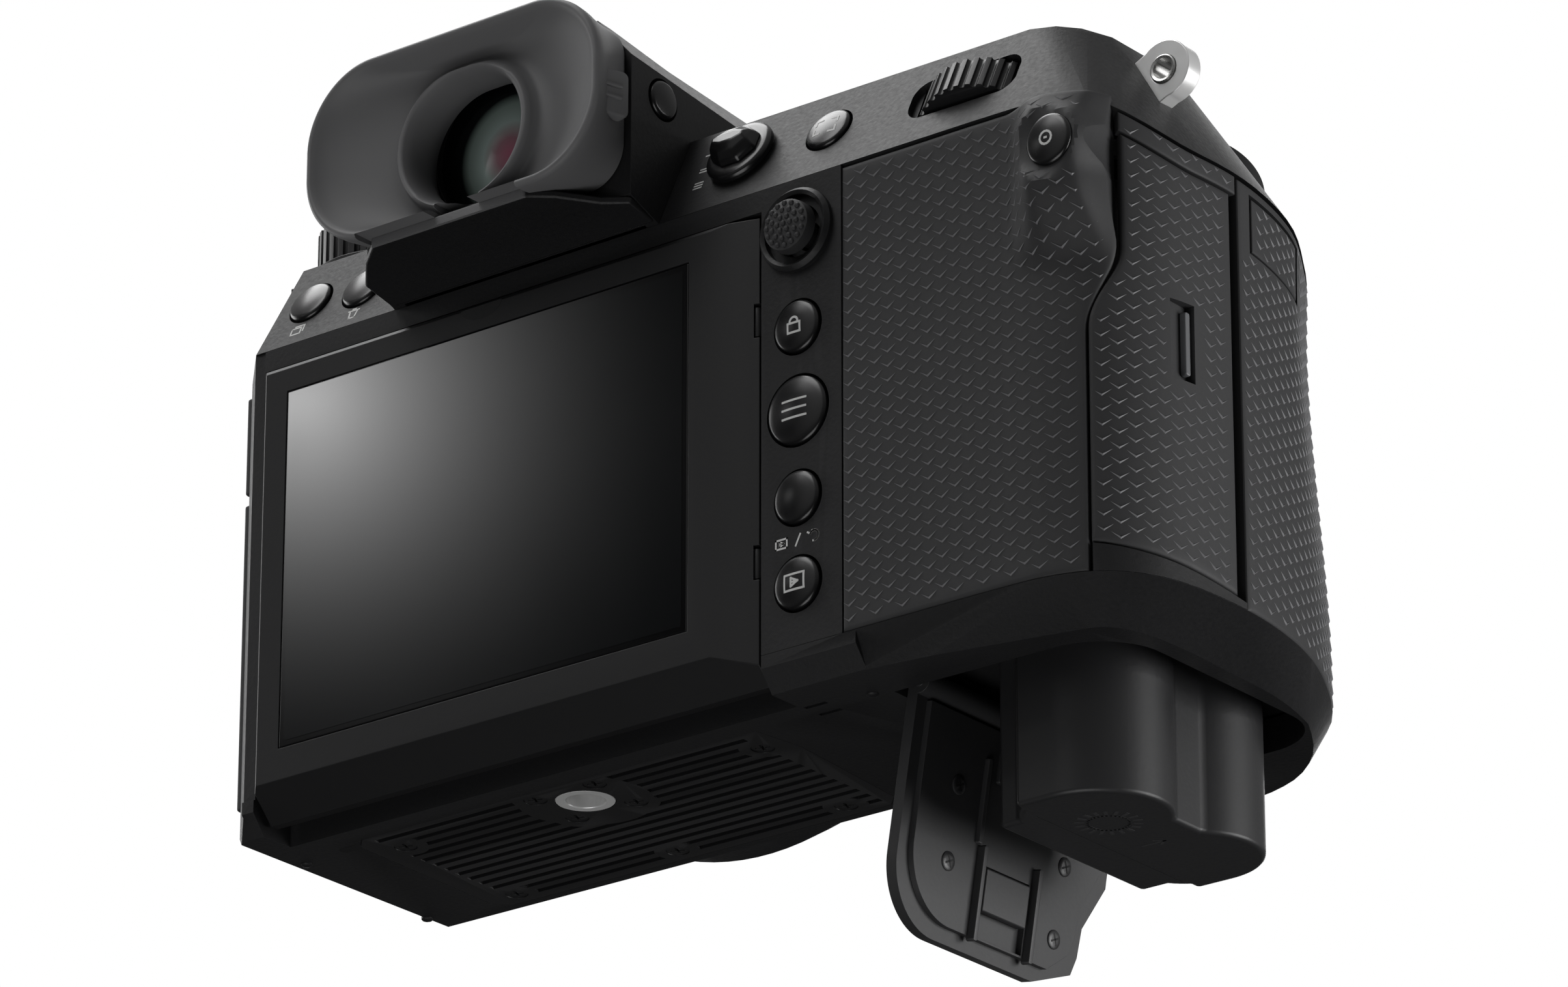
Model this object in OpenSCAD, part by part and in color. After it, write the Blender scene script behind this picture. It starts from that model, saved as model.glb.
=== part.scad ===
// Medium format digital camera body, shown with its battery door open and the battery part way out.
// Origin: centre of the tripod socket's mouth, on the base. X points to the photographer's right,
// Y forward through the lens mount and Z up. Millimetres throughout.

/* [Body] */
// Left wall, from the tripod socket axis
body_left = 50; // [48:0.5:52]
// Rear face, behind the tripod socket axis
body_rear = 17.5; // [17:0.5:19]
// Front face, ahead of the tripod socket axis
body_front = 27.5; // [26.5:0.5:29]
// Height of the seam above the base cover
seam_z = 4.5; // [4.2:0.1:5]
// Height of the crease below the shoulders
crease_z = 67.4; // [67:0.2:69]
// Height of the top deck
deck_z = 81.2; // [80.6:0.2:83]
// Lean of the rear shoulder up to the deck
shoulder_run = 6.5; // [5.5:0.5:7.5]
// Lean of the left shoulder up to the deck
left_run = 8; // [6:0.5:9]
// Wall thickness of the covers
wall = 2; // [1.8:0.1:2.3]
// Clearance around moving pieces
gap = 0.3; // [0.2:0.05:0.4]
// Clearance between pieces that are fixed together
seat = 0.05; // [0.03:0.01:0.08]

/* [Base] */
// Radius of the tripod socket bore, the minor radius of a quarter inch thread
socket_r = 2.6; // [2.5:0.05:2.8]
// Depth of the tripod socket bore
socket_depth = 5.5; // [5:0.25:6.5]
// Outer radius of the socket bush
bush_r = 3.9; // [3.6:0.1:4.4]
// Thickness of the finned plate
plate_t = 1.2; // [1:0.1:1.4]
// Half length of the finned plate
plate_half = 35; // [33:0.5:36]
// Front edge of the finned plate
plate_front = 25; // [24.5:0.5:25.5]
// Rear edge of the finned plate
plate_rear = 6.6; // [6.2:0.2:7.4]
// Spacing of the fins
fin_pitch = 2.3; // [2:0.1:2.8]
// Radius of the plate screws' heads
screw_r = 1.5; // [1.3:0.1:1.7]

/* [Grip] */
// Left edge of the grip's rubber
grip_x = 55.1; // [54.5:0.5:56]
// Right-most point of the grip
grip_side = 98.4; // [98:0.5:100]
// Front-most point of the grip
grip_reach = 53.5; // [53:0.5:56]
// How far the grip draws in at finger height
waist_in = 2.6; // [1:0.2:2.8]
// Height at which the grip is narrowest
waist_z = 52; // [48:1:56]
// Thickness of the skin over the grip's core
skin = 2.2; // [2:0.1:2.3]
// Wall of the grip's core
core_wall = 1.2; // [1:0.1:1.3]
// How far the thumb rest stands out
thumb_out = 5.5; // [4.5:0.5:6.5]
// Thickness of the card door
card_door_t = 1.7; // [1.4:0.1:1.8]
// Travel of the card door's latch
card_latch_travel = 2; // [1.4:0.1:2.2]

/* [Battery] */
// Width of the battery across its cells
batt_w = 38.3; // [37.8:0.1:38.6]
// Depth of the battery from its ridge through one cell
batt_d = 21.1; // [20.8:0.1:21.4]
// Length of the battery
batt_len = 52.3; // [51:0.5:53]
// Left face of the battery
batt_x = 64; // [63.8:0.1:64.2]
// Rear face of the battery
batt_y = -2.8; // [-3:0.1:-2.7]
// How far the battery stands out below the base
batt_out = 17.2; // [14:0.2:19]
// Wall of the battery chamber
chamber_wall = 0.8; // [0.6:0.1:0.9]
// Room left of the battery for the door's hinge
hinge_room = 9; // [8.8:0.1:9.2]
// Room right of the battery in the door's opening
bay_room = 3.5; // [3.3:0.1:3.9]
// Room behind the battery in the door's opening
bay_room_rear = 4.2; // [4:0.1:4.5]
// Room in front of the battery in the door's opening
bay_room_front = 3.7; // [3.5:0.1:4.3]
// Thickness of the battery door's outer plate
door_t = 1.6; // [1.4:0.1:1.7]
// Thickness of the battery door's liner
liner_t = 0.8; // [0.6:0.1:0.9]
// Angle at which the battery door hangs open
door_open = 99.5; // [90:0.5:102]
// Radius of the battery door's hinge pins
door_pin_r = 0.7; // [0.6:0.05:0.8]
// Radial clearance of the battery door's hinge pins
pin_fit = 0.05; // [0.03:0.01:0.08]
// Travel of the battery door's latch
door_latch_travel = 3; // [2:0.5:3.5]

/* [Viewfinder] */
// Centre of the viewfinder and of the lens mount across the body
axis_x = 3.5; // [3:0.25:4]
// Width of the viewfinder housing
finder_w = 44.4; // [43:0.2:45]
// Rear face of the viewfinder housing
finder_back = 23.2; // [22.5:0.1:24.5]
// Lower edge of the viewfinder's rear face
finder_low = 69.6; // [69.4:0.2:70.6]
// Height of the viewfinder's side walls at the rear
finder_side_z = 89.2; // [88.6:0.2:89.8]
// Fall of the side walls' upper edges towards the front, in degrees
finder_fall = 6.6; // [5:0.2:8]
// Height of the viewfinder's rear rim
finder_rim_z = 95.6; // [95:0.2:96.4]
// Height of the viewfinder's roof under the accessory shoe
finder_top = 93; // [92.4:0.2:94]
// Height of the eyepiece's optical axis
eye_z = 82.9; // [82:0.1:84]
// Radius of the eyepiece lens
eye_r = 10.4; // [9.5:0.1:10.5]
// Width of the eyecup's rim
cup_w = 49; // [47:0.5:51]
// Height of the eyecup's rim
cup_h = 25; // [24:0.2:26]
// How far the eyecup stands out behind the housing
cup_out = 9.8; // [8:0.2:12]
// Wall of the eyecup at its rim
cup_wall = 1.6; // [1.2:0.1:2]
// Inner width of the accessory shoe
shoe_w = 18.6; // [18.5:0.05:18.8]
// Inner height of the accessory shoe
shoe_h = 2.1; // [2:0.05:2.3]
// Opening between the lips of the accessory shoe
shoe_mouth = 12.6; // [12.4:0.1:12.8]

/* [Lens mount] */
// Height of the lens axis
lens_z = 42; // [42:0.5:44]
// Radius of the mount's throat
throat_r = 32.5; // [32:0.1:32.8]
// Outer radius of the mount ring
mount_r = 39; // [38.5:0.25:40]
// Position of the mount's flange face
flange_y = 36; // [35:0.25:37]
// Thickness of the mount ring
ring_t = 3.5; // [3:0.25:4]
// Distance from the flange to the sensor's face
register_len = 26.7; // [26.5:0.1:27]
// Width of the sensor's image area
sensor_w = 43.8; // [43:0.2:44.4]
// Height of the sensor's image area
sensor_h = 32.9; // [32:0.1:33.5]

/* [Monitor] */
// Left edge of the monitor
mon_left = 40.3; // [39.8:0.1:40.5]
// Right edge of the monitor
mon_right = 41.9; // [41.6:0.1:42]
// Lower edge of the monitor
mon_low = 1.2; // [1:0.1:1.8]
// Upper edge of the monitor
mon_high = 63.8; // [63:0.1:64]
// Depth from the rear face to the screen's face
mon_proud = 1.5; // [1:0.1:2.5]
// Width of the screen's glass
glass_w = 67.6; // [66:0.2:68]
// Height of the screen's glass
glass_h = 49.9; // [49:0.1:51]
// Left edge of the screen's glass
glass_left = 35.8; // [35:0.1:36.2]
// Lower edge of the screen's glass
glass_low = 9.9; // [9.5:0.1:10.4]
// Thickness of each hinge plate behind the monitor
plate_sheet = 1; // [0.9:0.05:1.05]
// Play between the hinge plates
plate_play = 0.2; // [0.15:0.01:0.22]
// Depth of the monitor's recess below the rear face
recess_depth = 7.5; // [7.5:0.1:7.8]

/* [Controls] */
// Middle of the rear button column across the body
column_x = 48.2; // [48:0.1:48.4]
// Radius of the small rear buttons
button_r = 3.5; // [3.2:0.05:3.6]
// Radius of the menu button
menu_r = 4.6; // [4.2:0.1:4.8]
// How far a button stands out
button_out = 0.9; // [0.6:0.1:1.2]
// Travel of a button
button_travel = 0.6; // [0.4:0.1:0.8]
// Radius of the focus stick's cap
stick_r = 3.7; // [3.4:0.1:3.8]
// Outer radius of the collar around the focus stick
collar_r = 5.6; // [5.4:0.1:5.7]
// Radius of the mode dial
mode_r = 11; // [10:0.25:12]
// Height of the mode dial's knurled rim
mode_h = 6; // [5:0.25:7]
// Number of notches around a dial
notches = 36; // [24:1:48]
// Radius of the rear dial
rear_dial_r = 9.5; // [9.3:0.1:9.8]
// Radius of the front dial
front_dial_r = 5.5; // [5.3:0.1:5.6]
// Radius of the shutter button
shutter_r = 5; // [4.5:0.1:5.4]
// Radius of the lens release button
release_r = 5; // [4.5:0.1:5.5]
// Thickness of the terminal doors
term_t = 1.3; // [1.1:0.1:1.6]
// Radius of the strap lugs' eyes
lug_eye_r = 1.9; // [1.7:0.1:2.1]
// Outer radius of the strap lugs
lug_r = 3.9; // [3.7:0.1:4.1]
// Thickness of the strap lugs
lug_t = 2.6; // [2.2:0.1:3]

/* [Hidden] */
$fn = 64;
eps = 0.01;
front_y = body_front;
rear_y = -body_rear;
lean = atan(shoulder_run / (deck_z - crease_z));
top_z = crease_z - seat;
// Monitor stack, from the recess floor to the screen's face
floor_y = rear_y + recess_depth;
arm_y = floor_y - plate_play - plate_sheet / 2;
frame_y = arm_y - plate_play - plate_sheet;
drop_y = frame_y - plate_play - plate_sheet;
house_y = drop_y - plate_play - plate_sheet / 2;
face_y = rear_y - mon_proud;
recess_right = mon_right + 0.5;
recess_left = mon_left + 0.9;
recess_top = mon_high + 0.6;
hinge_low_z = 6;
hinge_high_z = mon_high - 2.8;
drop_hinge_z = mon_low + 3.3;
side_hinge_x = mon_right - 0.9;
side_hinge_y = face_y + 2.6;
side_hinge_r = 0.7;
// Battery, its door and the door's opening, which narrows in front of the hinge
cell_r = batt_d - 11.5;
cell_x = batt_x + 11.5;
bay_x = batt_x - hinge_room;
bay_side = cell_x + cell_r + bay_room;
bay_rear = bay_room_rear - batt_y;
bay_front = batt_y + batt_w + bay_room_front;
bay_step = front_y - 3.2;
bay_step_in = 5;
pivot_x = bay_x + 2.2;
pivot_z = door_t;
ridge_t = 6.1;
batt_home = 8.5;
batt_travel = batt_home + batt_out;
chamber_z = seam_z + 0.5;
chamber_top = batt_home + batt_len + 2.8;
// Lens mount and sensor
boss_r = mount_r + 2;
boss_y = flange_y - ring_t;
sensor_y = flange_y - register_len;
shutter_y = sensor_y + 0.6;
shutter_t = 5;
tube_y = shutter_y + shutter_t + 0.1;
tube_r = throat_r + 1.6;
// Right end of the webs that join the grip's core to the front wall, clear of the battery chamber
web_x = batt_x - chamber_wall - 2 * gap;
// Viewfinder
half_w = finder_w / 2;
shoe_base = 0.45;
shoe_lip = 0.8;
shoe_len = 19;
shoe_y = -8;
roof_run = 12;
roof_rise = roof_run * 1.115;
// Top of the grip
deck_front = 20;
grip_drop = 4.9;
grip_low = crease_z - grip_drop;
core_top = grip_low - 2 * seat;
grip_fall = grip_reach - waist_in * 0.85 - deck_front;
grip_slope = atan((deck_z - grip_low) / grip_fall);
// Places of the controls on the shoulders and on the grip's top
focus_btn = [50.6, 74.6];
lever_at = [36.7, 74.9];
drive_at = [-36.2, 74.2];
delete_at = [-26.8, 73.7];
rear_dial_at = [72, 74.5];
rear_dial_depth = 7.3;
rear_dial_t = 5;
// Half the length of the scoop around the rear dial
rear_scoop = sqrt(pow(rear_dial_r, 2) - pow(rear_dial_depth, 2)) + 2.4;
mode_at = [-36, 3];
shutter_at = [76, 31];
front_dial_at = [76, 43.5];
front_dial_depth = 3.2;
front_dial_t = 6;
light_at = [75, 10];
func_at = [75, 1];
top_btn_r = 2.4;
sub_lcd = [40, -7, 28, 22];
stick_z = 60.2;
// Inside of the collar, wide enough for the stick tilted both ways at once
collar_in = stick_r + 0.9;
lock_z = 47.1;
menu_z = 35.8;
back_z = 24.1;
play_z = 12.7;
quick_at = [89.8, 59.7];
quick_r = 3.4;
view_at = [-16.8, 85];
view_r = 2.6;
diop_at = [-16, 84];
diop_r = 5;
release_at = [axis_x - 46, 30];
lock_pin_at = [axis_x - 35.8, lens_z];
lock_pin_r = 1.5;
lever_r = 5;
movie_r = mode_r + 1;
spindle_r = 4;
// Left side doors: rear edge, front edge, then lower and upper edges of each
term_rear = -9.5;
term_front = 18;
term_low = [7.4, 50.6];
term_up = [52, 66];
term_x = -body_left - gap - term_t;
// Stations along the grip's outline: rubber, card door and hinge slot
card_end = 6.28;
slot_end = 6.42;
card_z = [9.5, 60];
card_hinge = [grip_side - 1.6, rear_y + 22.4];
latch_y = rear_y + 12.85;
latch_z = 36.3;
remote_t = [6.7, 8.3];
remote_z = [53.2, 60.6];

// Smooth step from 0 to 1 between a and b
function sstep(a, b, x) = let (t = min(1, max(0, (x - a) / (b - a)))) t * t * (3 - 2 * t);

// Upper edge of the grip's skin at station t: level behind, lower along the side and the front
function skin_top(t) = crease_z - grip_drop * sstep(3.3, 5.6, t);

// Station of the card door's rear edge at height z, and heights of its lower and upper edges
function card_start(z) = 3.7 + 0.58 * sstep(36, 48, z);
function card_low(t) = 8.5 - 1.05 * (t - 3.7);
function card_high(t) = skin_top(t) - 0.9;

// How far the grip is drawn in at height z
function draw_in(z) = waist_in * (sstep(seam_z + 4, waist_z, z) - 0.2 * sstep(waist_z, crease_z, z));

// One control point of the grip's outline, drawn towards the middle of the grip by its share w
function pulled(p, w, z) =
  let (c = [grip_x + 21, 20], v = c - p) w == 0 ? p : p + v / norm(v) * w * draw_in(z);

// Control points of the grip's outline at height z: rear, right side, front, inner side
function grip_ctrl(z) = [
  [grip_x, rear_y],
  [grip_x + 11, rear_y],
  [grip_x + 22, rear_y],
  [grip_side - 12.4, rear_y + 0.5],
  [grip_side - 5.4, rear_y + 3.5],
  [grip_side - 1.2, rear_y + 10.5],
  [grip_side, rear_y + 20.5],
  pulled([grip_side - 0.5, grip_reach - 40.5], 0.15, z),
  pulled([grip_side - 2.9, grip_reach - 29.5], 0.35, z),
  pulled([grip_side - 7.4, grip_reach - 19], 0.7, z),
  pulled([grip_side - 13.9, grip_reach - 8.5], 1, z),
  pulled([grip_side - 22.4, grip_reach - 1.5], 1, z),
  pulled([grip_side - 31.4, grip_reach], 1, z),
  pulled([grip_side - 37.9, grip_reach - 4.5], 0.7, z),
  pulled([grip_x + 2.9, grip_reach - 13.5], 0.3, z),
  [grip_x + 1.9, front_y + 0.5]
];

// Cubic through b and c with neighbours a and d
function cubic(a, b, c, d, u) =
  0.5 * (2 * b + (c - a) * u + (2 * a - 5 * b + 4 * c - d) * u * u + (3 * b - a - 3 * c + d) * u * u * u);

// Point at station t of the outline at height z
function outline_pt(t, z) =
  let (p = grip_ctrl(z), k = max(0, min(floor(t), 14)))
  cubic(p[max(k - 1, 0)], p[k], p[k + 1], p[min(k + 2, 15)], t - k);

// The same point moved inward by d
function grip_pt(t, z, d) =
  let (v = outline_pt(min(t + 0.02, 15), z) - outline_pt(max(t - 0.02, 0), z), n = [v.y, -v.x] / norm(v))
  outline_pt(t, z) - n * d;

function stations(a, b, n) = [for (i = [0:n]) a + (b - a) * i / n];

// How far the thumb rest stands out at x, z
function thumb(x, z) =
  thumb_out * sstep(grip_side - 18, grip_side - 10.5, x) * (1 - sstep(grip_side - 5.6, grip_side - 3.5, x))
  * sstep(44, 55, z) * (1 - 0.5 * sstep(62, 68, z));

// Place children on the rear shoulder, on the grip's sloping top, or facing the rear
module on_shoulder(at) {
  translate([at.x, rear_y + shoulder_run * (at.y - crease_z) / (deck_z - crease_z), at.y])
    rotate([90 - lean, 0, 0]) children();
}
module on_grip_top(at) {
  translate([at.x, at.y, deck_z - (at.y - deck_front) * tan(grip_slope)])
    rotate([-grip_slope, 0, 0]) children();
}
module on_rear(x, z, y = rear_y) {
  translate([x, y, z]) rotate([90, 0, 0]) children();
}
module on_lens(y) {
  translate([axis_x, y, lens_z]) rotate([-90, 0, 0]) children();
}

// Box between two corners
module span(a, b) {
  translate(a) cube(b - a);
}

// Rounded rectangle around the origin, as exact arcs
module round_rect(w, h, r) {
  square([w - 2 * r, h], center = true);
  square([w, h - 2 * r], center = true);
  for (x = [-1, 1], y = [-1, 1]) translate([x * (w / 2 - r), y * (h / 2 - r)]) circle(r);
}

// Closed skin between an outer and an inner grid of points, rows running along the outline
module skin_between(outer, inner) {
  m = len(outer);
  n = len(outer[0]);
  pts = concat([for (r = outer) for (p = r) p], [for (r = inner) for (p = r) p]);
  o = m * n;
  faces = concat(
    [for (i = [0:m - 2], j = [0:n - 2]) each [
      [i * n + j, i * n + j + 1, i * n + n + j + 1], [i * n + j, i * n + n + j + 1, i * n + n + j]]],
    [for (i = [0:m - 2], j = [0:n - 2]) each [
      [o + i * n + j, o + i * n + n + j + 1, o + i * n + j + 1],
      [o + i * n + j, o + i * n + n + j, o + i * n + n + j + 1]]],
    [for (i = [0:m - 2]) each [
      [i * n, i * n + n, o + i * n + n], [i * n, o + i * n + n, o + i * n]]],
    [for (i = [0:m - 2]) each [
      [i * n + n - 1, o + i * n + n + n - 1, i * n + n + n - 1],
      [i * n + n - 1, o + i * n + n - 1, o + i * n + n + n - 1]]],
    [for (j = [0:n - 2]) each [
      [j, o + j, o + j + 1], [j, o + j + 1, j + 1]]],
    [for (j = [0:n - 2], b = [(m - 1) * n]) each [
      [b + j, o + b + j + 1, o + b + j], [b + j, b + j + 1, o + b + j + 1]]]
  );
  polyhedron(points = pts, faces = faces, convexity = 6);
}

// Patch of the grip's surface between two stations and two heights, to a depth d
module grip_patch(t0, t1, nt, z0, z1, nz, d0, d1) {
  ts = stations(t0, t1, nt);
  zs = stations(z0, z1, nz);
  skin_between(
    [for (t = ts) [for (z = zs) let (p = grip_pt(t, z, d0)) [p.x, p.y, z]]],
    [for (t = ts) [for (z = zs) let (p = grip_pt(t, z, d1)) [p.x, p.y, z]]]);
}

// Outline of the grip at height z, moved inward by d and closed along its left side
function grip_loop(z, d, n) = [for (t = stations(0, 15, n)) grip_pt(t, z, d)];

// Push button: cap with a crowned face, standing on a thinner stem
module button(r, out, deep) {
  crown = r * 0.16;
  ball = (r * r + crown * crown) / (2 * crown);
  intersection() {
    translate([0, 0, -deep / 2]) cylinder(r = r, h = out + deep);
    translate([0, 0, out - ball]) sphere(ball, $fn = 128);
  }
  translate([0, 0, -deep]) cylinder(r = r * 0.6, h = deep / 2 + eps);
}

// Notched wheel around the local Z axis, centred on it
module wheel(r, t, n, notch) {
  difference() {
    cylinder(r = r, h = t, center = true);
    for (i = [0:n - 1]) rotate(i * 360 / n) translate([r, 0, 0])
      cylinder(r = notch, h = t + 1, center = true, $fn = 16);
  }
}

// Section of the battery, a narrower ridge, a flat body and two round cells, grown by d
module battery_section(d) {
  translate([batt_x - d, batt_y + 5 - d]) square([ridge_t + d + eps, batt_w - 8.5 + 2 * d]);
  translate([batt_x + ridge_t - d, batt_y - d]) square([cell_x - batt_x - ridge_t + d, batt_w + 2 * d]);
  for (y = [batt_y + cell_r, batt_y + batt_w - cell_r]) translate([cell_x, y]) circle(cell_r + d);
  translate([cell_x - eps, batt_y + cell_r]) square([cell_r - 2.7 + d + eps, batt_w - 2 * cell_r]);
}

// Outline of the battery door's opening, shrunk by d
module bay_section(d) {
  x0 = bay_x + d;
  x1 = bay_side - d;
  y0 = -bay_rear + d;
  y1 = bay_front - d;
  r = 9;
  translate([x0, y0]) square([bay_step_in + 1, bay_step - d - y0]);
  translate([x0 + bay_step_in, y0]) square([x1 - x0 - bay_step_in - r, y1 - y0]);
  translate([x1 - r - eps, y0 + r]) square([r + eps, y1 - y0 - 2 * r]);
  for (y = [y0 + r, y1 - r]) translate([x1 - r, y]) circle(r);
}

// Strap lug: a round nosed plate with an eye, grown by d. It lies across Y and leans in by tilt
module lug(d, tilt) {
  rotate([90, 0, 0]) difference() {
    union() {
      cylinder(r = lug_r + d, h = lug_t + 2 * d, center = true);
      rotate(tilt) translate([0, -(lug_r + 1.1 + d) / 2, 0])
        cube([2 * (lug_r + d) - 0.4, lug_r + 1.1 + d, lug_t + 2 * d], center = true);
    }
    if (d == 0) cylinder(r = lug_eye_r, h = 5, center = true);
  }
}
module lugs(d) {
  translate([grip_side - 4.1, -1.5, deck_z - 6.6]) lug(d, -65);
  translate([-body_left + 0.6, 3, deck_z - 5.6]) lug(d, 61);
}

// Covers

module front_cover() {
  core = grip_loop(waist_z, skin, 60);
  hollow = grip_loop(waist_z, skin + core_wall, 60);
  color("#1b1b1c") difference() {
    union() {
      span([-body_left, front_y - wall, seam_z + seat], [grip_x - seat, front_y, top_z]);
      span([grip_x - 1, front_y - wall, seam_z + seat], [web_x, front_y, core_top]);
      span([grip_x + skin + 2.3, front_y - wall, seam_z + seat], [web_x, front_y + 2, core_top]);
      span([-body_left, rear_y + 9.5, seam_z + seat], [-body_left + wall, front_y, top_z]);
      difference() {
        on_lens(front_y - eps) cylinder(r = boss_r, h = boss_y - front_y + eps);
        span([-body_left - 1, front_y - 1, top_z], [grip_x + 9, front_y + seat, deck_z + 9]);
      }
      on_lens(tube_y) cylinder(r = tube_r, h = front_y - tube_y + 1);
      translate([0, 0, seam_z + seat]) linear_extrude(core_top - seam_z - seat) difference() {
        polygon(core);
        polygon(concat([[grip_x - 3, rear_y + skin + core_wall]], hollow, [[grip_x - 3, front_y + 4]]));
      }
      // Sill below the card door
      skin_between(
        [for (t = stations(3.72, slot_end - 0.04, 16)) [for (z = [seam_z + seat, card_low(t) - gap])
          let (p = grip_pt(t, z, 0)) [p.x, p.y, z]]],
        [for (t = stations(3.72, slot_end - 0.04, 16)) [for (z = [seam_z + seat, card_low(t) - gap])
          let (p = grip_pt(t, z, skin + 0.6)) [p.x, p.y, z]]]);
    }
    on_lens(0) cylinder(r = throat_r + 0.5, h = flange_y + 5);
    // Window behind the card door
    span([grip_side - 9, rear_y - 1, card_z[0] - 0.3], [grip_side + 1, card_hinge.y + 3, card_z[1] + 0.3]);
    // Room for the front dial, and the remote socket
    on_grip_top(front_dial_at) translate([-front_dial_t / 2 - 0.6, -front_dial_r - 1, -front_dial_r - 6])
      cube([front_dial_t + 1.2, 2 * front_dial_r + 2, front_dial_r + 6]);
    // Terminal bays behind the left doors
    for (z = [term_low, term_up]) span([-body_left - 1, term_rear + 3.5, z[0] + 3],
      [-body_left + wall + 1, term_front - 3, z[1] - 3]);
    // Holes for the lens release and the mount's lock pin
    translate([release_at.x, 0, release_at.y]) rotate([-90, 0, 0])
      cylinder(r = release_r + gap, h = front_y + 9);
    translate([lock_pin_at.x, tube_y, lock_pin_at.y]) rotate([-90, 0, 0])
      cylinder(r = lock_pin_r + 0.1, h = boss_y - tube_y + 1);
  }
}

module rear_cover() {
  color("#1b1b1c") difference() {
    union() {
      // Wall that carries the button column
      span([recess_right, rear_y, seam_z + seat], [grip_x - seat, rear_y + wall, top_z]);
      // Sides, floor and head of the monitor's recess
      span([recess_right, rear_y, seam_z + seat], [recess_right + 1.4, floor_y + 1.4, top_z]);
      span([-recess_left - 1.4, floor_y, seam_z + seat], [recess_right + 1.4, floor_y + 1.4, top_z]);
      span([-recess_left, rear_y, recess_top], [recess_right + 1, floor_y + 1, top_z]);
      translate([0, 0, seam_z + seat]) linear_extrude(top_z - seam_z - seat) polygon([
        [-body_left, rear_y + 9.5 - seat], [-body_left, rear_y + 7.2], [-recess_left - 2, rear_y + 0.3],
        [-recess_left, rear_y + 0.3], [-recess_left, floor_y + 1.4], [-body_left + wall, rear_y + 9.5 - seat]]);
      // Collar around the focus stick
      on_rear(column_x, stick_z) rotate_extrude() polygon([
        [collar_in, -0.5], [collar_r, -0.5], [collar_r, 0.6], [collar_r - 0.5, 1.2], [collar_in, 0.9]]);
    }
    for (z = [lock_z, back_z, play_z]) on_rear(column_x, z)
      translate([0, 0, -wall - 1]) cylinder(r = button_r + gap, h = wall + 3);
    on_rear(column_x, menu_z) translate([0, 0, -wall - 1]) cylinder(r = menu_r + gap, h = wall + 3);
    on_rear(column_x, stick_z) translate([0, 0, -wall - 1]) cylinder(r = stick_r - 0.2, h = wall + 2);
  }
}

// Outer or inner form of the shoulders left of the grip, inset by d
module shoulder_form(d) {
  intersection() {
    translate([-80, 0, 0]) rotate([90, 0, 90]) linear_extrude(160) polygon([
      [rear_y + d * 1.1, crease_z - d], [rear_y + shoulder_run + d * 0.7, deck_z - d],
      [deck_front - d * 0.4, deck_z - d], [front_y - d, deck_z - 6 - d * 0.5], [front_y - d, crease_z - d]]);
    translate([0, 60, 0]) rotate([90, 0, 0]) linear_extrude(120) polygon([
      [-body_left + d * 1.1, crease_z - d], [-body_left + left_run + d * 0.7, deck_z - d],
      [grip_x + 2 + d, deck_z - d], [grip_x + 2 + d, crease_z - d]]);
  }
}

// Outer or inner form of the grip's top, inset by d
module grip_top_form(d) {
  ts = stations(0, 15, 48);
  deck_rear = rear_y + shoulder_run + d * 0.7;
  hull() {
    skin_between(
      [for (t = ts) let (z = skin_top(t) - d, p = grip_pt(t, skin_top(t), d))
        [[p.x, p.y, z], [p.x, p.y, z + 0.02]]],
      [for (t = ts) let (z = skin_top(t) - d, p = grip_pt(t, skin_top(t), d + 0.05))
        [[p.x, p.y, z], [p.x, p.y, z + 0.02]]]);
    translate([0, 0, deck_z - d - 0.02]) linear_extrude(0.02) polygon([
      [grip_x, deck_rear], [grip_side - 18.5, deck_rear], [grip_side - 15.4, deck_rear + 1.3],
      [grip_side - 13.3, deck_rear + 3.8], [grip_side - 12.6 - d, deck_rear + 7], [grip_side - 12.6 - d, 7],
      [grip_side - 14.2 - d, 13], [grip_side - 17.6 - d, deck_front - d], [grip_x, deck_front - d]]);
    // Rounded edge of the deck on the right
    translate([0, 0, deck_z - d - 1.1]) linear_extrude(0.02) polygon([
      [grip_x + 20, 0], [grip_side - 12.2 - d, deck_rear + 3.4], [grip_side - 10.5 - d, deck_rear + 6.4],
      [grip_side - 10.5 - d, 8], [grip_side - 12.4 - d, 14], [grip_x + 20, 15]]);
  }
}

// Slanted cut across the left rear corner of the shoulders, moved inward by d
module corner_cut(d) {
  translate([-(body_left + recess_left + 2) / 2, rear_y + 3.75, crease_z])
    rotate(-atan2(6.9, body_left - recess_left - 2)) rotate([-24, 0, 0])
    translate([-40, -40, -12]) cube([80, 40 + d, 60]);
}

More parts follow.
